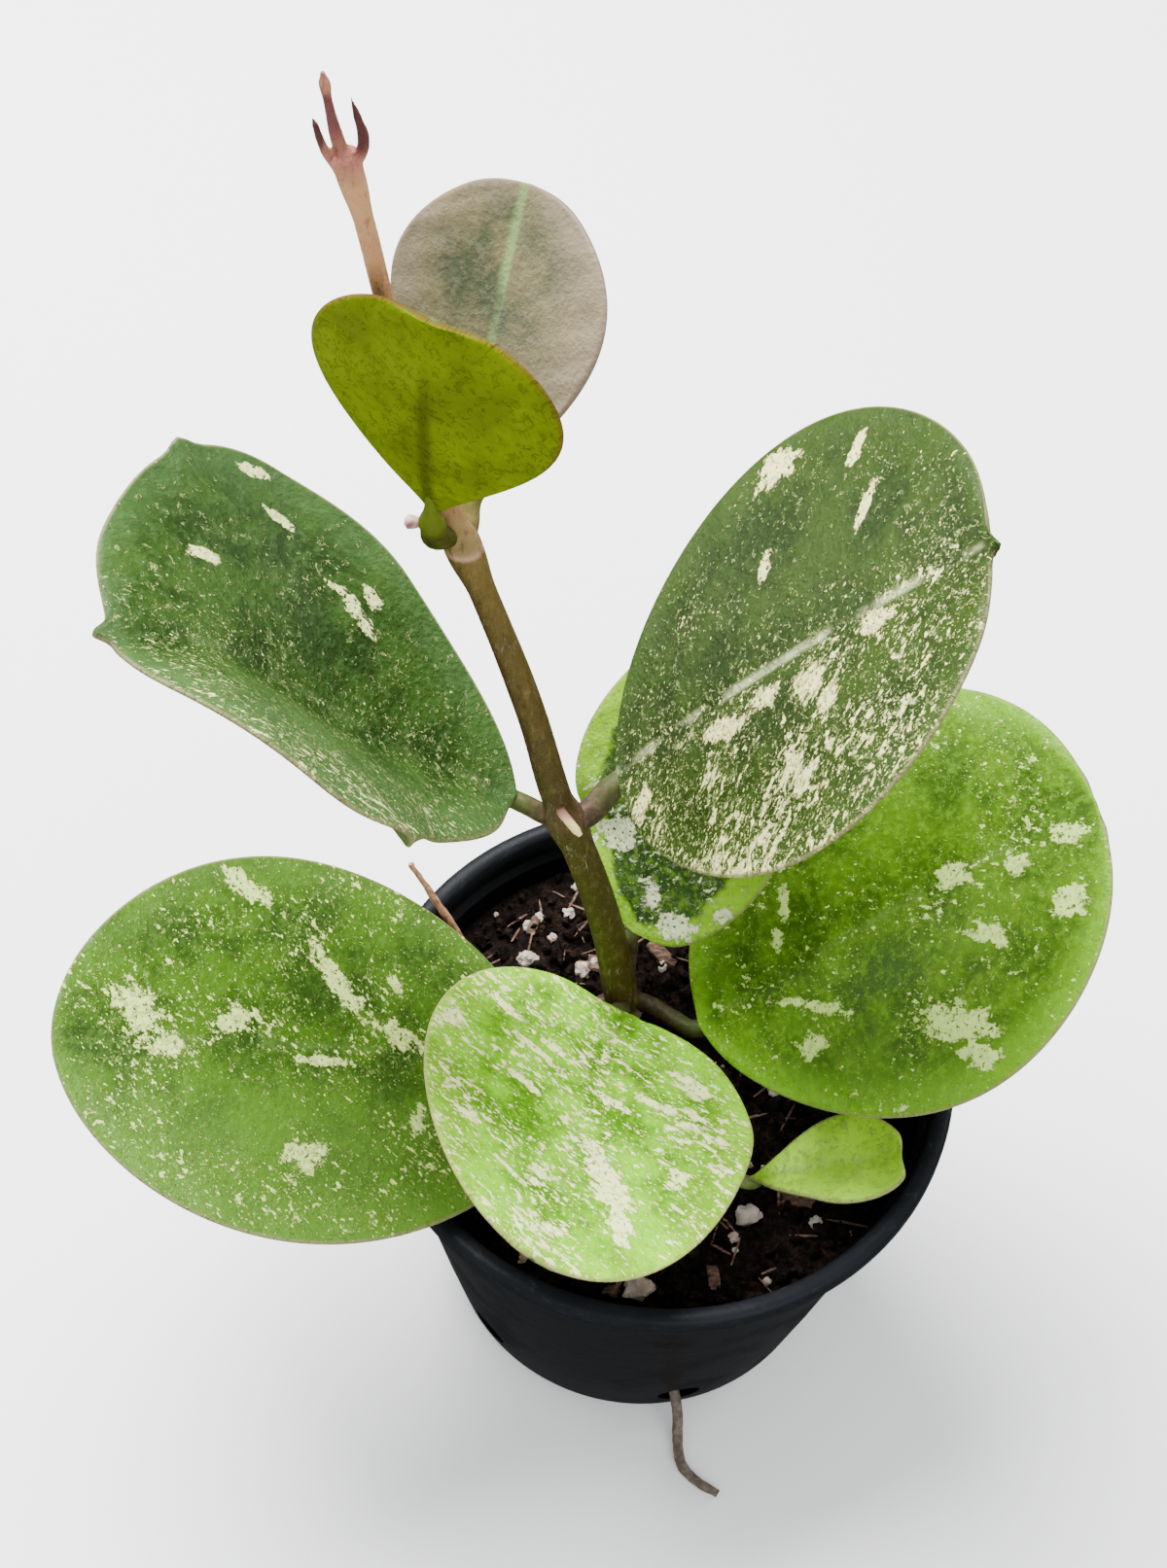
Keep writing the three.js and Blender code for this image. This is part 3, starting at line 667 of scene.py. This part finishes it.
SPLINTER = [(-31.5, 19.2, 61, 0.7), (-38.5, 23.2, 72, 0.7), (-42, 25.2, 78, 0.62), (-45.8, 27.3, 84, 0.42)]
splinter = limb("wood_splinter", SPLINTER, 3)
for vertex in splinter.data.vertices:
    vertex.co += vertex.normal * 0.0003 * noise.noise(vertex.co * 600)
smooth_faces(splinter, 30)
wood = Paint("split_wood")
spot = wood.place()
grain = wood.noise(wood.stretch(spot, (1, 1, 0.15)), 0.0008, 3)
wood.set(Base_Color=wood.ramp(grain, (0.35, (0.2, 0.085, 0.035)), (0.65, (0.42, 0.23, 0.115))), Roughness=0.6)
wood.bump(grain, 0.0003)
splinter.data.materials.append(wood.material)
finish(splinter, "soil")


# ---------- leaves ----------
# Thick waxy blades, almost round, each on its own short stalk. The upper side
# has a shallow crease along the midrib and cream splashes, the edge is blunt
# and pale, and the underside is plain and duller. The blade is a ball drawn
# out flat: its poles are the leaf's base and tip.

BLADE_HALF = 0.7
EDGE_HALF = 0.42
EDGE_ROUND = 0.8
CREASE_WIDTH = 5
FOLD_STEPS = 24
CUSP_HALF = 1.3
GROOVE_DEPTH = 0.35
GROOVE_HALF = 0.9
RIB_HEIGHT = 0.5
RIB_HALF = 1.5
# u ** 3 * (1 - u) is at most 1 / 9.48
ARCH_PEAK = 9.48
# millimetres of blade to one unit of its flat map
MAP_SIDE = 100

# each leaf: its base and tip, the way its upper side faces, half widths left and
# right, the bends of the blade, and the stalk's x, y, z and radius, all in millimetres
# and degrees; ruffles are half, place, spread and move of a swelling in the rim
LEAVES = {
    "leaf_upper_left": dict(
        base=(-27, 14, 126), tip=(-83, 0, 178), face=(0.6, -0.1, 0.8),
        width=(35, 36), widest=0.65, blunt=(0.45, 0.75), fold=(45, 10), fold_tip=(40, 0),
        lobe=(10, 2), tip_lobe=5, bow=-8, arch=7, sway=5, twist=30, curl=(-25, 5), cusp=2,
        ripple=dict(half=0, rise=6, at=0.6, reach=0.1),
        ruffles=[(0, 0.41, 0.09, (1.2, 1.3, 0.8)), (1, 0.77, 0.02, (-0.6, 0.8, 1.4))],
        stalk=[(-17.8, 12.4, 121, 1.6), (-19.8, 12.5, 122.2, 1.9), (-22, 12.8, 123, 1.65),
               (-25.4, 13.6, 124.4, 1.6)]),
    "leaf_upper_right": dict(
        base=(-11, 19, 127), tip=(37, 18, 188), face=(-0.75, -0.1, 0.65),
        width=(39, 37), widest=0.6, blunt=(0.4, 0.4), fold=(5, 5), fold_tip=(5, 5),
        lobe=(0, 0), tip_lobe=1, bow=2, arch=0, sway=0, twist=-10, curl=(-5, 0), cusp=1.5,
        stalk=[(-19.5, 12.2, 121, 2.3), (-17.6, 13, 122, 2.4), (-15.2, 14.2, 122.8, 2.2),
               (-12.4, 17, 125, 2.1)]),
    "leaf_top_front": dict(
        base=(-38, 6, 200), tip=(-38, 3, 237), face=(0.4, 0.9, 0),
        width=(18, 17), widest=0.7, blunt=(0.65, 0.4), fold=(5, 5), fold_tip=(5, 5),
        lobe=(0, 2), tip_lobe=1, bow=-2, arch=0, sway=0, twist=0, curl=(0, 0),
        stalk=[(-35.4, 13, 189.4, 1.2), (-36.3, 11.8, 190.2, 1.7), (-37.8, 9.4, 192, 1.9),
               (-38.6, 7.4, 194.4, 1.85), (-38.5, 6.1, 197.4, 1.75)]),
    "leaf_top_back": dict(
        base=(-34, 17, 194), tip=(-29, 39, 228), face=(-0.7, -0.5, 0.6),
        width=(19, 20), widest=0.6, blunt=(0.6, 0.6), fold=(10, 5), fold_tip=(10, 5),
        lobe=(0, 0), tip_lobe=1, bow=1, arch=0, sway=0, twist=15, curl=(0, 0),
        stalk=[(-35.2, 11.2, 187.6, 1.9), (-34.8, 13.6, 189.8, 1.7), (-34.3, 16.2, 192.6, 1.5)]),
    "leaf_lower_left": dict(
        base=(-22, -2, 68), tip=(-99, -18, 96), face=(0.1, 0, 1),
        width=(37, 36), widest=0.5, blunt=(0.45, 0.5), fold=(5, 5), fold_tip=(5, 5),
        lobe=(3, 2), tip_lobe=0, bow=1, arch=0, sway=0, twist=-10, curl=(0, 0),
        stalk=[(-7.4, 13, 67.4, 1.8), (-12, 10.4, 67.1, 1.6), (-16, 4.8, 67, 1.5), (-20.6, -0.4, 67, 1.5)]),
    "leaf_front": dict(
        base=(-7, 7, 72), tip=(-19, -52, 99), face=(0.3, 0, 1),
        width=(28, 30), widest=0.4, blunt=(0.4, 0.4), fold=(5, 5), fold_tip=(5, 5),
        lobe=(0, 2), tip_lobe=0, bow=-1, arch=0, sway=0, twist=-10, curl=(0, 0),
        ripple=dict(half=0, rise=3, at=0.35, reach=0.15),
        stalk=[(-7.2, 12.6, 68.8, 1.9), (-7.2, 9.8, 70, 1.7), (-7.2, 8, 70.9, 1.7)]),
    "leaf_lower_right": dict(
        base=(7, 7, 70), tip=(66, 22, 124), face=(-0.5, -0.2, 0.8),
        width=(37, 38), widest=0.6, blunt=(0.45, 0.4), fold=(5, 5), fold_tip=(5, 5),
        lobe=(4, 0), tip_lobe=0, bow=2, arch=0, sway=0, twist=-10, curl=(0, 0),
        stalk=[(-6.4, 13.1, 67.2, 1.8), (-2.2, 12, 67.3, 1.7), (2.4, 9.2, 67.6, 1.6), (6, 7.1, 68.4, 1.6)]),
    "leaf_back": dict(
        base=(-6, 18, 82), tip=(2, 52, 126), face=(-0.4, -0.8, 0.4),
        width=(19, 21), widest=0.5, blunt=(0.55, 0.6), fold=(5, 5), fold_tip=(5, 5),
        lobe=(0, 2), tip_lobe=0, bow=2, arch=0, sway=3, twist=5, curl=(0, 0),
        ripple=dict(half=0, rise=-4, at=0.25, reach=0.1),
        stalk=[(-7, 12.6, 67, 1.9), (-6.6, 16.4, 71.5, 1.6), (-6.4, 17.8, 76.5, 1.5), (-6.4, 18, 80, 1.5)]),
    "leaf_young": dict(
        base=(16, -21, 68), tip=(41, -19, 76), face=(-0.3, 0.1, 0.9),
        width=(9, 10), widest=0.65, blunt=(0.65, 0.4), fold=(10, 25), fold_tip=(10, 20),
        lobe=(0, 0), tip_lobe=1, bow=0, arch=0, sway=0, twist=15, curl=(15, 10),
        stalk=[(7.2, -18.6, 48, 1.1), (7.8, -19, 60, 1.3), (10.2, -20, 65.2, 1.3), (14.2, -21, 67.2, 1.25)]),
}


def unit(rows):
    return rows / np.linalg.norm(rows, axis=-1, keepdims=True)


def blade_surface(leaf, u, v):
    """The middle surface at u, from base to tip, and v, from -1 at the left to 1.

    Also the upward direction at the midrib, the flat half width and the length, in millimetres.
    """
    base, tip = np.array(leaf["base"], float), np.array(leaf["tip"], float)
    length = np.linalg.norm(tip - base)
    along = (tip - base) / length
    face = np.array(leaf["face"], float)
    face = unit(face - face.dot(along) * along)
    side = np.cross(along, face)
    u1 = u[:, None]
    lift = leaf["bow"] * 4 * u1 * (1 - u1) + leaf["arch"] * ARCH_PEAK * u1 ** 3 * (1 - u1)
    climb = leaf["bow"] * 4 * (1 - 2 * u1) + leaf["arch"] * ARCH_PEAK * (3 * u1 ** 2 - 4 * u1 ** 3)
    middle = base + along * length * u1 + face * lift + side * leaf["sway"] * 4 * u1 * (1 - u1)
    ahead = unit(along * length + face * climb + side * leaf["sway"] * 4 * (1 - 2 * u1))
    level = unit(face - (ahead @ face)[:, None] * ahead)
    across = np.cross(ahead, level)
    turn = np.radians(leaf["twist"]) * (u1 - 0.5)
    up = level * np.cos(turn) + across * np.sin(turn)
    out = np.cross(ahead, up)
    power = math.log(0.5) / math.log(leaf["widest"])
    blunt = leaf["blunt"][0] + (leaf["blunt"][1] - leaf["blunt"][0]) * u
    share = np.clip(np.sin(np.pi * np.clip(u, 0, 1) ** power), 0, 1) ** blunt
    right = v >= 0

    def half(key):
        return np.where(right, leaf[key][1], leaf[key][0])

    width = half("width") * share
    change = smooth((u - 0.36) / 0.24)
    fold = half("fold") + (half("fold_tip") - half("fold")) * change
    reach = np.abs(v) * width
    x, z = np.zeros_like(u), np.zeros_like(u)
    for s in range(FOLD_STEPS):
        q = (s + 0.5) / FOLD_STEPS * reach
        tilt = np.radians(fold) * smooth(q / CREASE_WIDTH) + np.radians(half("curl")) * q / half("width")
        x += np.cos(tilt) * reach / FOLD_STEPS
        z += np.sin(tilt) * reach / FOLD_STEPS
    ripple = leaf.get("ripple")
    if ripple:
        same_half = right == (ripple["half"] == 1)
        swell = ripple["rise"] * np.exp(-((u - ripple["at"]) / ripple["reach"]) ** 2)
        z += same_half * swell * v ** 2 * smooth(share * 2)
    shift = np.abs(v) ** 1.6 * smooth(share * 2) * (leaf["tip_lobe"] * u ** 4 - half("lobe") * (1 - u) ** 2)
    narrow = np.exp(-(np.abs(v) * width / CUSP_HALF) ** 2)
    shift += leaf.get("cusp", 0) * narrow * smooth((u - 0.955) / 0.045)
    place = middle + out * (np.sign(v) * x)[:, None] + up * z[:, None] + ahead * shift[:, None]
    for half_side, at, spread, move in leaf.get("ruffles", []):
        same_half = right == (half_side == 1)
        swell = same_half * np.exp(-((u - at) / spread) ** 2) * v ** 2 * smooth(share * 2)
        place = place + swell[:, None] * np.array(move)
    return place, up, width, length


def blade(name, leaf, rows=110, ring=112):
    """The blade's skin, with a flat map of itself and marks for its upper side and its rim."""
    piece = add(name, bpy.ops.mesh.primitive_uv_sphere_add, segments=ring, ring_count=rows, radius=1)
    count = len(piece.data.vertices)
    ball = np.empty(count * 3)
    piece.data.vertices.foreach_get("co", ball)
    ball = ball.reshape(-1, 3)
    u = np.clip((1 + ball[:, 2]) / 2, 0, 1)
    round_part = np.maximum(np.hypot(ball[:, 0], ball[:, 1]), 1e-6)
    v = np.clip(ball[:, 0] / round_part, -1, 1)
    v[round_part < 1e-4] = 0
    upper = np.sign(ball[:, 1])
    upper[np.abs(ball[:, 1]) < 1e-5 * round_part] = 0
    place, up, width, length = blade_surface(leaf, u, v)
    near = np.clip(v, -0.93, 0.93)
    step = 0.004
    further = blade_surface(leaf, np.clip(u + step, 0, 1), near)[0]
    nearer = blade_surface(leaf, np.clip(u - step, 0, 1), near)[0]
    ahead = further - nearer
    over = blade_surface(leaf, u, near + step)[0] - blade_surface(leaf, u, near - step)[0]
    normal = np.cross(over, ahead)
    size = np.linalg.norm(normal, axis=1, keepdims=True)
    normal = np.where(size > 1e-9, normal / np.maximum(size, 1e-9), up)
    normal = np.where((width < 2)[:, None], up, normal)
    rim = (1 - np.abs(v)) * width
    thick = BLADE_HALF + (EDGE_HALF - BLADE_HALF) * v ** 4
    thick = thick * np.sqrt(np.clip(1 - (1 - np.clip(rim / EDGE_ROUND, 0, 1)) ** 2, 0, 1))
    across = np.abs(v) * width
    groove = GROOVE_DEPTH * np.exp(-(across / GROOVE_HALF) ** 2) * (1 - 0.5 * u)
    groove = groove * smooth(u * 12) * smooth((1 - u) * 12)
    rib = RIB_HEIGHT * np.exp(-(across / RIB_HALF) ** 2) * (1 - u) * smooth(u * 12)
    wander = 0.2 * np.sin(u * 21 + v * 4 + len(name)) + 0.14 * np.sin(u * 47 - v * 9 + 2 * len(name))
    above = thick * np.abs(upper) - groove * (upper > 0)
    below = -thick - rib * smooth(rim / 2)
    lift = np.where(upper >= 0, above, below)
    lift = lift + wander * v * v * smooth(rim / 3)
    points = place + normal * lift[:, None]
    piece.data.vertices.foreach_set("co", (points / 1000).ravel())
    flat = np.stack([np.sign(v) * across / MAP_SIDE + 0.5, u * length / MAP_SIDE], 1)
    corner = np.empty(len(piece.data.loops), np.int32)
    piece.data.loops.foreach_get("vertex_index", corner)
    piece.data.uv_layers[0].name = "flat_leaf"
    piece.data.uv_layers[0].data.foreach_set("uv", flat[corner].ravel())
    marks = {"upper_side": np.clip(upper * 0.5 + 0.5, 0, 1), "rim": np.minimum(rim, 12) / 1000}
    for mark, values in marks.items():
        layer = piece.data.attributes.new(mark, "FLOAT", "POINT")
        layer.data.foreach_set("value", values.astype(np.float32))
    piece.data.update()
    bpy.ops.object.mode_set(mode="EDIT")
    bpy.ops.mesh.select_all(action="SELECT")
    bpy.ops.mesh.normals_make_consistent(inside=False)
    bpy.ops.object.mode_set(mode="OBJECT")
    smooth_faces(piece)
    return piece


def stalk(name, leaf):
    """The stalk runs on under the blade and thins out along the midrib."""
    stations = list(leaf["stalk"])
    thick = stations[-1][3]
    rows = np.array([0.5 - 0.5 * math.cos(math.pi * row / 12) for row in (1, 2.5, 4)])
    middle, up, _, _ = blade_surface(leaf, rows, np.zeros(3))
    for place, lift, share in zip(middle, up, (0.95, 0.5, 0.15)):
        x, y, z = place - lift * thick * share
        stations.append((x, y, z, thick * share))
    return limb(name, stations, 6, 8)


def leaf_paint(name, look):
    """The blade's finish: clouded green, a paler margin, a painted sheen on one half, and cream in curls,
    flecks and splashes; the curls are partly painted glints.
    """
    skin = Paint(name)
    flat = skin.node("ShaderNodeUVMap", {"uv_map": "flat_leaf"})
    flat = skin.node("ShaderNodeVectorMath", {"operation": "SCALE"}, {0: flat, "Scale": MAP_SIDE / 1000})
    top = skin.node("ShaderNodeAttribute", {"attribute_name": "upper_side"}, out=2).step(0.35, 0.6)
    rim = skin.node("ShaderNodeAttribute", {"attribute_name": "rim"}, out=2)
    across = skin.part(flat, "X") - MAP_SIDE / 2000
    cloud = skin.noise(flat, 0.011, 4, 0.6)
    fine = skin.noise(flat, 0.0016, 4, 0.65)
    green = skin.mix(cloud.step(0.38, 0.62), look["dark"], look["light"])
    green = skin.mix(fine.step(0.46, 0.66) * 0.3, green, look["rim"])
    # one half of the blade is mixed toward the pale margin colour: a painted sheen on that half
    green = skin.mix((across * look["painted_sheen_side"]).step(0.0, 0.02) * 0.45, green, look["rim"])
    margin = (rim + (cloud - 0.5) * 0.012).step(*look["margin"])
    green = skin.mix(margin * look["rim_share"], green, look["rim"])
    # a pale line along the midrib: its own colour, and on the upper right leaf also a painted highlight along
    # the crease
    crease = (abs(across) + (fine - 0.5) * 0.001).step(0.0013, 0.0001)
    gaps = 1 - look["midrib_gaps"] * cloud.step(0.55, 0.4)
    green = skin.mix(crease * look["midrib"] * gaps, green, look["midrib_and_sheen_colour"])

    # fine curls of cream, partly painted glints on the raised wax curls, and dots of cream all over, then
    # flecks and blots drawn out one way
    slant = skin.stretch(flat, (1, 1, 1), (0, 0, look["lean"]))
    slant = skin.stretch(slant, (1, look["drawn"], 1))
    dense = skin.noise(flat, 0.015, 2) - 0.5 + across * look["heavy_side"]
    curl = abs(skin.noise(flat, 0.0017, 3, 0.5, 1.5) - 0.5).step(0.04, 0.008)
    curl = curl * (skin.noise(flat, 0.0015, 2) + dense * 0.3).step(0.49, 0.56) * look["curl"]
    dot = (skin.noise(slant, 0.0005, 2, 0.6) + dense * 0.2).step(look["speck"], look["speck"] + 0.05)
    fleck = (skin.noise(slant, 0.0013, 4, 0.6) + dense * 0.35).step(look["fleck"], look["fleck"] + 0.02)
    blot = (skin.noise(slant, 0.0032, 6, 0.62) + dense * 0.3).step(look["blot"], look["blot"] + 0.015)

    # splashes put where the leaf has them, with ragged edges and green holes
    ragged = skin.noise(slant, 0.0019, 6, 0.75) - 0.5
    holes = skin.noise(flat, 0.0008, 3, 0.6).step(0.36, 0.42)
    splash = fleck.most(blot * holes)
    for x, y, long, wide, turn in look["splashes"]:
        there = skin.node("ShaderNodeMapping", {"vector_type": "TEXTURE"}, {
            "Vector": flat, "Location": (MAP_SIDE / 2000 + x / 1000, y / 1000, 0),
            "Rotation": (0, 0, math.radians(turn)), "Scale": (wide / 1000, long / 1000, 1)})
        away = skin.node("ShaderNodeVectorMath", {"operation": "LENGTH"}, {0: there}, 1)
        splash = splash.most((away + ragged * 4.5).step(1.06, 0.94) * holes)

    cream = skin.mix(skin.noise(flat, 0.0012, 3).step(0.45, 0.7) * 0.35, look["cream"], look["cream_dull"])
    colour = skin.mix(curl, green, look["cream_dull"])
    colour = skin.mix(dot.most(splash), colour, cream)
    under = skin.mix(cloud.step(0.36, 0.64), look["under"], look["under_light"])
    under = skin.mix(fine.step(0.5, 0.7) * 0.25, under, look["under_rib"])
    rib_end = skin.part(flat, "Y").step(look["under_rib_end"] + 0.008, look["under_rib_end"] - 0.004)
    under = skin.mix(abs(across).step(0.0016, 0.0002) * rib_end * 0.75, under, look["under_rib"])
    speckle = skin.noise(flat, 0.0011, 2).step(0.73, 0.76)
    under = skin.mix(speckle * 0.3, under, look["under_rib"])
    colour = skin.mix(top, under, colour)
    colour = skin.mix(rim.step(0.0007, 0.0001) * 0.75, colour, look["edge"])
    skin.set(Base_Color=colour, Roughness=0.36 + (1 - top) * 0.2 + fine * 0.12, Coat_Weight=0.02,
             Coat_Roughness=0.25, Specular_IOR_Level=look["shine"])
    relief = fine * 0.7 + cloud * 1.2 + splash * 0.3 + curl * 0.8 + skin.noise(flat, 0.0007, 2) * 0.35
    skin.bump(relief, look["relief"])
    return skin.material


def stalk_paint(name, leaf, look):
    """The stalk's finish: finely mottled, and turning to the underside's colour below the blade."""
    skin = Paint(name)
    spot = skin.place()
    base, tip = Vector(leaf["base"]) / 1000, Vector(leaf["tip"]) / 1000
    from_base = skin.node("ShaderNodeVectorMath", {"operation": "SUBTRACT"}, {0: spot, 1: base})
    along = skin.node("ShaderNodeVectorMath", {"operation": "DOT_PRODUCT"},
                      {0: from_base, 1: (tip - base).normalized()}, 1)
    mottle = skin.noise(spot, 0.0012, 4, 0.6)
    tint = skin.mix(mottle.step(0.4, 0.7), *look["stalk"])
    tint = skin.mix(along.step(-0.006, 0.004), tint, look["under"])
    skin.set(Base_Color=tint, Roughness=0.5, Specular_IOR_Level=0.15)
    skin.bump(mottle, 0.0002)
    return skin.material


# LOOK is a plain leaf's finish and LOOKS is how each one differs from it. Splashes are
# placed one by one, in millimetres: across from the midrib, along from the base, half
# length, half width, and the turn in degrees from the midrib. Speck, fleck and blot
# are thresholds: the lower they are, the more cream there is.
LOOK = dict(
    dark=(0.008, 0.024, 0.001), light=(0.022, 0.055, 0.005), rim=(0.06, 0.13, 0.035), rim_share=0.35,
    margin=(0.01, 0.0005), painted_sheen_side=0, cream=(0.62, 0.66, 0.27), cream_dull=(0.26, 0.34, 0.1),
    midrib=0.35, midrib_gaps=1, midrib_and_sheen_colour=(0.2, 0.28, 0.12), lean=0.6, drawn=0.45, heavy_side=0.0,
    speck=0.66, fleck=0.67, blot=0.68, curl=0.6, under=(0.05, 0.08, 0.012),
    under_light=(0.08, 0.12, 0.02), under_rib=(0.1, 0.13, 0.04), under_rib_end=0.06,
    edge=(0.2, 0.19, 0.08), shine=0.1, relief=0.0004, splashes=[],
    stalk=((0.035, 0.02, 0.011), (0.085, 0.052, 0.032)))
LOOKS = {
    "leaf_upper_left": dict(
        # its near half carries a painted sheen band: a paler green and denser cream flecks along the crease
        slot="leaf_dark", painted_sheen_side=-1, heavy_side=-9, curl=0.85, lean=0.4, speck=0.67, fleck=0.7, blot=0.75,
        midrib=0.1, relief=0.0006,
        splashes=[(17, 34, 5, 1, -35), (20, 32, 2, 1, -35), (15, 60, 3, 1, 0), (27, 46, 2, 1, -20),
                  (33, 50, 2, 1, 0)]),
    "leaf_upper_right": dict(
        slot="leaf_dark_splashed", shine=0.12, dark=(0.009, 0.022, 0.0005), light=(0.02, 0.042, 0.002),
        rim=(0.04, 0.08, 0.012), heavy_side=9, curl=0.95, lean=-0.9, drawn=0.6, speck=0.64, fleck=0.64,
        # its pale midrib line is partly a painted highlight along the crease
        blot=0.655, midrib=0.6, midrib_and_sheen_colour=(0.5, 0.52, 0.28), cream=(0.68, 0.65, 0.27), relief=0.0006,
        splashes=[(6, 27, 5, 2, -25), (5, 36, 3, 2, -10), (7, 45, 3, 3, 0), (12, 49, 2, 2, 0),
                  (3, 58, 3, 2, -10), (20, 42, 2, 2, 0), (24, 44, 2, 2, 20), (9, 7, 3, 2, 60),
                  (30, 20, 3, 2, 80), (-34, 42, 4, 3, 20), (-17, 38, 3, 1, 65), (-18, 58, 4, 1, 60),
                  (-29, 57, 3, 1, 65)]),
    "leaf_top_front": dict(
        # its underside's olive yellow-green is a painted glow of light shining through the blade from behind
        slot="leaf_underside", under=(0.085, 0.12, 0), under_light=(0.12, 0.17, 0),
        under_rib=(0.045, 0.055, 0), under_rib_end=0.026, edge=(0.1, 0.05, 0.01), shine=0.03,
        stalk=((0.03, 0.028, 0.001), (0.055, 0.055, 0.002))),
    "leaf_top_back": dict(
        slot="leaf_mauve", dark=(0.045, 0.055, 0.028), light=(0.11, 0.098, 0.045), rim=(0.2, 0.155, 0.1),
        rim_share=0.6, painted_sheen_side=1, midrib=0.6, midrib_gaps=0.7, midrib_and_sheen_colour=(0.18, 0.32, 0.1), speck=0.8,
        fleck=0.76, blot=0.8, curl=0.1, edge=(0.16, 0.11, 0.08), lean=0.3, cream=(0.28, 0.33, 0.18),
        cream_dull=(0.17, 0.2, 0.1), stalk=((0.12, 0.09, 0.024), (0.2, 0.15, 0.05))),
    "leaf_lower_left": dict(
        slot="leaf_mid_green", dark=(0.014, 0.04, 0.001), light=(0.04, 0.105, 0.002), rim=(0.09, 0.2, 0.022),
        painted_sheen_side=-1, lean=0.9, drawn=0.6, speck=0.64, fleck=0.62, blot=0.67, curl=0.8,
        cream=(0.5, 0.62, 0.18), cream_dull=(0.2, 0.32, 0.06), midrib=0.1,
        splashes=[(5, 70, 5, 3, -60), (29, 51, 5, 2, -30), (12, 35, 7, 2, -56), (3, 25, 4, 2, -20),
                  (13, 25, 2, 1, -60), (4, 54, 3, 2, 40), (-1, 65, 3, 2, 0), (-3, 39, 5, 1, 0),
                  (-21, 44, 3, 3, 30), (-14, 24, 3, 1, 70)]),
    "leaf_front": dict(
        # its greens are set far paler than a leaf's own colour: a painted glow of light through the blade and
        # a painted sheen
        slot="leaf_bright_splashed", dark=(0.055, 0.19, 0), light=(0.2, 0.54, 0), rim=(0.36, 0.76, 0.005),
        lean=-1.3, drawn=0.45, speck=0.6, fleck=0.575, blot=0.62, curl=0.6,
        edge=(0.35, 0.38, 0.1), midrib=0.2, cream=(0.9, 0.95, 0.42), cream_dull=(0.5, 0.7, 0.1),
        splashes=[(12, 21, 5, 1, 75), (9, 18, 3, 1, 75), (19, 15, 4, 1, 75), (27, 25, 2, 2, 50),
                  (12, 30, 3, 1, 75), (-3, 23, 3, 1, 75), (-10, 20, 4, 1, 75), (-15, 12, 4, 2, 65),
                  (-7, 42, 8, 3, 36), (-11, 50, 5, 2, 20), (-18, 35, 2, 2, 50)]),
    "leaf_lower_right": dict(
        slot="leaf_bright", dark=(0.026, 0.068, 0), light=(0.062, 0.145, 0), rim=(0.17, 0.4, 0.01),
        rim_share=0.55, lean=0.6, drawn=0.65, speck=0.66, fleck=0.635, blot=0.665, curl=0.5,
        cream=(0.48, 0.64, 0.17), cream_dull=(0.22, 0.38, 0.05), midrib=0.12,
        splashes=[(25, 48, 7, 3, -35), (32, 50, 4, 2, -35), (15, 72, 3, 3, 0), (3, 76, 3, 2, -40),
                  (13, 58, 4, 2, -40), (0, 55, 3, 2, -40), (-11, 25, 3, 1, 70), (-6, 21, 2, 1, 70),
                  (9, 24, 7, 1, -35), (15, 21, 3, 2, -20), (4, 66, 2, 2, 0)],
        stalk=((0.016, 0.012, 0.003), (0.04, 0.03, 0.008))),
    "leaf_back": dict(
        slot="leaf_two_green", dark=(0.012, 0.03, 0.006), light=(0.024, 0.052, 0.009), rim=(0.17, 0.34, 0.01),
        rim_share=0.97, margin=(0.0062, 0.0045), lean=0.8, speck=0.67, fleck=0.65, blot=0.67,
        cream=(0.5, 0.55, 0.33), cream_dull=(0.2, 0.27, 0.12),
        splashes=[(-9, 16, 4, 4, 45), (-13, 10, 3, 1, 0), (1, 8, 2, 2, -40), (7, 6, 4, 2, -60),
                  (-14, 22, 3, 1, 0), (14, 12, 2, 1, -50)]),
    "leaf_young": dict(
        slot="leaf_young", dark=(0.16, 0.33, 0.006), light=(0.3, 0.58, 0.014), rim=(0.34, 0.66, 0.03),
        speck=0.72, fleck=0.72, blot=0.74, cream=(0.5, 0.62, 0.25), cream_dull=(0.35, 0.48, 0.15),
        stalk=((0.22, 0.3, 0.07), (0.33, 0.42, 0.12))),
}
for name, leaf in LEAVES.items():
    look = {**LOOK, **LOOKS[name]}
    skin = blade(f"{name}_blade", leaf)
    skin.data.materials.append(leaf_paint(f"{name}_skin", look))
    foot = stalk(f"{name}_stalk", leaf)
    smooth_faces(foot)
    foot.data.materials.append(stalk_paint(f"{name}_stalk", leaf, look))
    whole = join([skin, foot], f"{name}_blade")
    finish(whole, look["slot"], name)


# ---------- the closing call -------------------------------------

bpy.context.view_layer.update()
